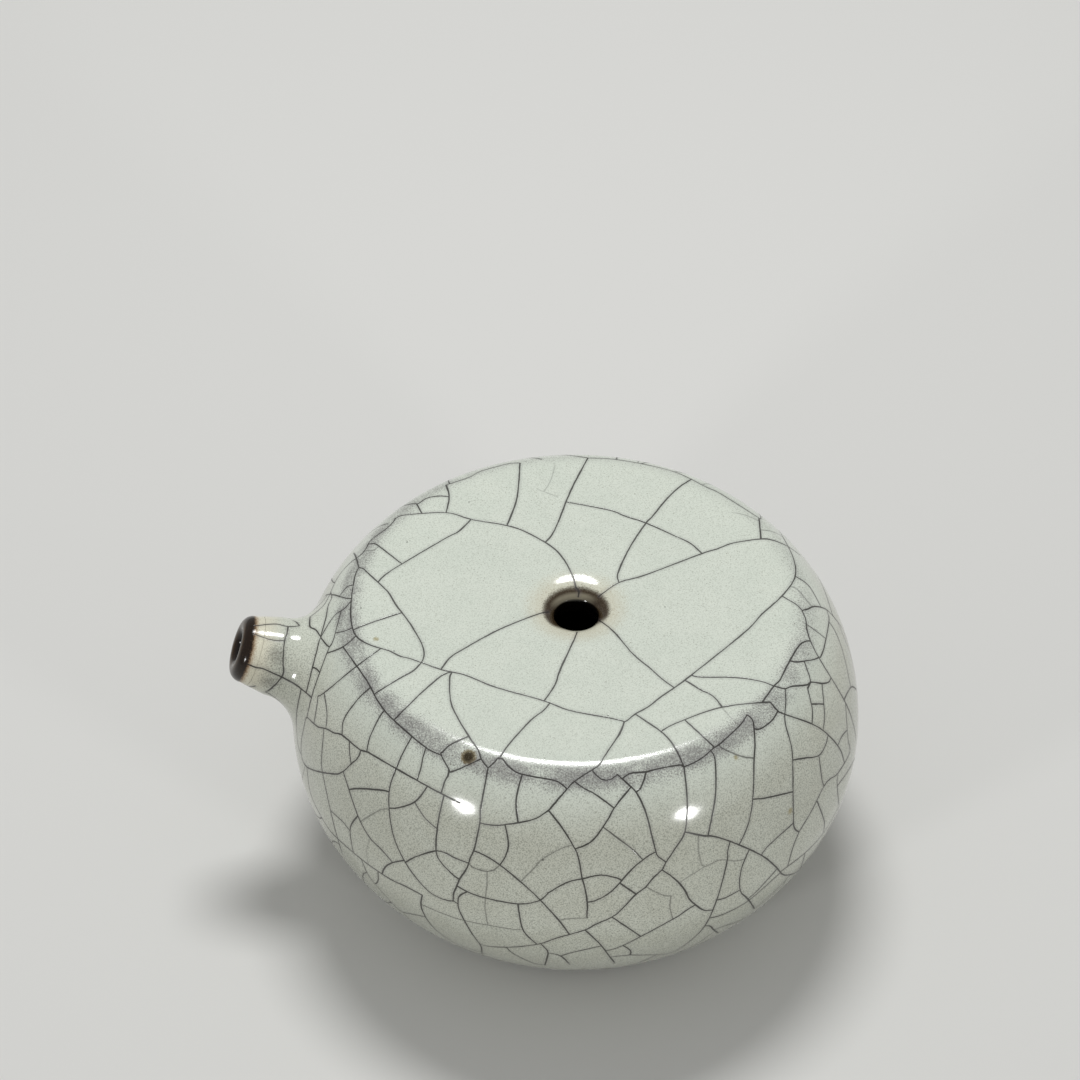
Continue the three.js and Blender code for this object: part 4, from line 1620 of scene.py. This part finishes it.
@dataclass(frozen=True)
class BareClay:
    """Turned stoneware, a fired iron-rich clay: brown, dry and dull, cloudy in tone and gritty with iron."""

    name: str
    colour: str
    dark: str
    speck: str
    roughness: float
    patches_per_mm: float = 0.35
    grains_per_mm: float = 2.6
    grain_height: float = 0.06

    def build(self) -> bpy.types.Material:
        """Makes the material."""
        material = bpy.data.materials.new(self.name)
        material.use_nodes = True
        tree = material.node_tree
        shader = tree.nodes["Principled BSDF"]
        place = add_node(tree, "ShaderNodeTexCoord").outputs["Object"]
        mm = add_node(tree, "ShaderNodeVectorMath", {0: place, "Scale": 1 / MM}, operation="SCALE")
        patch, grit = (
            add_node(tree, "ShaderNodeTexNoise", {
                "Vector": mm.outputs[0], "Scale": scale, "Detail": detail}).outputs["Fac"]
            for scale, detail in ((self.patches_per_mm, 4.0), (self.grains_per_mm, 3.0))
        )
        colour: Socket | tuple = linear(self.colour)
        for value, start, end, share, tone in (
            (patch, 0.35, 0.65, 0.6, self.dark), (grit, 0.58, 0.72, 0.7, self.speck),
        ):
            factor = add_node(tree, "ShaderNodeMapRange", {
                "Value": value, "From Min": start, "From Max": end, "To Max": share}).outputs[0]
            colour = add_node(tree, "ShaderNodeMix", {
                0: factor, 6: colour, 7: linear(tone)}, data_type="RGBA").outputs[2]
        tree.links.new(colour, shader.inputs["Base Color"])
        roughness = add_node(tree, "ShaderNodeMapRange", {
            "Value": patch, "From Min": 0.3, "From Max": 0.7,
            "To Min": self.roughness * 0.8, "To Max": self.roughness * 1.15}).outputs[0]
        tree.links.new(roughness, shader.inputs["Roughness"])
        height = add_node(
            tree, "ShaderNodeMath", {0: grit, 1: self.grain_height}, operation="MULTIPLY").outputs[0]
        bump = add_node(tree, "ShaderNodeBump", {"Height": height, "Distance": MM, "Strength": 1.0})
        tree.links.new(bump.outputs[0], shader.inputs["Normal"])
        return material


# Scene


@dataclass(frozen=True)
class PhotoCamera:
    """The camera at the photograph's angle, in millimetres and degrees."""

    elevation: float = 43.3
    distance: float = 650.0
    look_at: tuple[float, float, float] = (-0.80, 0.0, 63.17)
    sensor: float = 36.0
    lens: float = 147.66
    picture: int = 1080
    clip_metres: tuple[float, float] = (0.05, 20.0)

    @property
    def back(self) -> Vector:
        """The direction from what it looks at to the camera."""
        tilt = math.radians(self.elevation)
        return Vector((0.0, -math.cos(tilt), math.sin(tilt)))

    @property
    def eye(self) -> Vector:
        """Where the camera stands, in millimetres."""
        return Vector(self.look_at) + self.back * self.distance

    def ray(self, pixel: Pixel) -> Vector:
        """The direction in which the camera sees a pixel of the photograph."""
        across = Vector((1.0, 0.0, 0.0))
        up = self.back.cross(across)
        scale = self.sensor / self.lens / self.picture
        right, rise = (pixel[0] - self.picture / 2) * scale, (self.picture / 2 - pixel[1]) * scale
        return (across * right + up * rise - self.back).normalized()

    def place(self) -> None:
        """Makes the scene's camera."""
        data = bpy.data.cameras.new("camera")
        data.lens, data.sensor_width = self.lens, self.sensor
        data.clip_start, data.clip_end = self.clip_metres
        camera = bpy.data.objects.new("camera", data)
        camera.location = self.eye * MM
        camera.rotation_mode = "QUATERNION"
        camera.rotation_quaternion = (-self.back).to_track_quat("-Z", "Y")
        bpy.context.scene.collection.objects.link(camera)
        bpy.context.scene.camera = camera


@dataclass(frozen=True)
class Studio:
    """A pale floor under a soft overhead lamp, with two small lamps in front."""

    floor_colour: str = "#dcdcd9"
    floor_bounce: str = "#a0a09d"
    floor_metres: float = 4.0
    ambient: float = 0.34
    backdrop: float = 0.7
    softbox_direction: tuple[float, float, float] = (0.0, 0.33, 0.944)
    softbox_size: tuple[float, float] = (300.0, 150.0)
    distance: float = 700.0
    softbox_power: float = 2.8
    front_directions: tuple[tuple[float, float, float], ...] = (
        (-0.654, -0.724, 0.219), (0.644, -0.749, 0.158),
    )
    front_size: tuple[float, float] = (92.0, 76.0)
    front_power: float = 0.1
    front_spread: float = 60.0

    def lamp(
        self, name: str, direction: Sequence[float], size: Point2, power: float, spread: float = 180.0
    ) -> None:
        """Hangs an oval lamp that looks at the middle of the vessel.

        Args:
            name: The lamp's name.
            direction: Where it hangs, seen from the vessel.
            size: Its width and height.
            power: In watts.
            spread: Over how many degrees its light fans out.
        """
        data = bpy.data.lights.new(name, "AREA")
        data.shape, data.size, data.size_y = "ELLIPSE", size[0] * MM, size[1] * MM
        data.energy, data.spread = power, math.radians(spread)
        lamp = bpy.data.objects.new(name, data)
        low, high = cad_box
        towards = Vector(direction).normalized()
        lamp.location = (low + high) / 2 + towards * self.distance * MM
        lamp.rotation_mode = "QUATERNION"
        lamp.rotation_quaternion = towards.to_track_quat("Z", "Y")
        bpy.context.scene.collection.objects.link(lamp)

    def floor(self) -> None:
        """Lays the floor, pale to the eye and to reflections, and darker in what it bounces back."""
        bm = bmesh.new()
        bmesh.ops.create_grid(bm, x_segments=1, y_segments=1, size=self.floor_metres)
        mesh = bpy.data.meshes.new("floor")
        bm.to_mesh(mesh)
        bm.free()
        floor = bpy.data.objects.new("floor", mesh)
        bpy.context.scene.collection.objects.link(floor)
        material = bpy.data.materials.new("pale_floor")
        material.use_nodes = True
        tree = material.node_tree
        tree.nodes.clear()
        path = add_node(tree, "ShaderNodeLightPath").outputs
        seen: Socket = path["Is Camera Ray"]
        for ray in ("Is Glossy Ray", "Is Transmission Ray"):
            seen = add_node(tree, "ShaderNodeMath", {0: seen, 1: path[ray]}, operation="MAXIMUM").outputs[0]
        colour = add_node(tree, "ShaderNodeMix", {
            0: seen, 6: linear(self.floor_bounce), 7: linear(self.floor_colour)}, data_type="RGBA")
        matt = add_node(tree, "ShaderNodeBsdfDiffuse", {"Color": colour.outputs[2]})
        add_node(tree, "ShaderNodeOutputMaterial", {"Surface": matt.outputs[0]})
        mesh.materials.append(material)

    def world(self) -> None:
        """Lights everything evenly from a plain pale sky."""
        world = bpy.data.worlds.new("studio")
        world.use_nodes = True
        tree = world.node_tree
        tree.nodes.clear()
        path = add_node(tree, "ShaderNodeLightPath").outputs
        strength = add_node(tree, "ShaderNodeMix", {
            0: path["Is Camera Ray"], 2: self.ambient, 3: self.backdrop}, data_type="FLOAT")
        sky = add_node(tree, "ShaderNodeBackground", {
            "Color": (1, 1, 1, 1), "Strength": strength.outputs[0]})
        add_node(tree, "ShaderNodeOutputWorld", {"Surface": sky.outputs[0]})
        bpy.context.scene.world = world

    def build(self) -> None:
        """Sets up the whole studio."""
        self.floor()
        self.world()
        self.lamp("softbox", self.softbox_direction, self.softbox_size, self.softbox_power)
        for i, direction in enumerate(self.front_directions):
            self.lamp(f"front_lamp_{i}", direction, self.front_size, self.front_power, self.front_spread)


def main() -> None:
    """Builds the vessel, dresses it and sets up the studio."""
    logging.basicConfig(level=logging.INFO, format="%(relativeCreated)d ms %(name)s: %(message)s")
    form = VesselForm()
    clay = ClayForm(form)
    root = SpoutRoot(form)
    camera = PhotoCamera()
    coat, net = GlazeCoat(form, root).build(camera)
    pool = FootPool(form, clay).build()
    bowl = ClayBowl(form, clay).build()
    spout = ClaySpout(form, clay, root).build()
    net.weave(spout.data)
    glaze = CrackledGlaze("crackled_celadon", form, camera, net.tree).build()
    stoneware = BareClay("turned_stoneware", "#5b4737", "#3f3025", "#201712", 0.8).build()
    # On the lip the glaze is only a skin, burnt brown to black by the fire: darker and a little duller.
    lip = CrackledGlaze("burnt_lip_glaze", form, camera, net.tree, roughness=0.14, ior=1.4).build()
    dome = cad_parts["upper_body"]
    for piece, material in (
        (coat, glaze), (pool, glaze), (bowl, stoneware), (spout, lip), (dome, stoneware),
    ):
        piece.data.materials.clear()
        piece.data.materials.append(material)
    camera.place()
    Studio().build()
    scene = bpy.context.scene
    scene.view_settings.view_transform = "Standard"


if __name__ == "__main__":
    main()
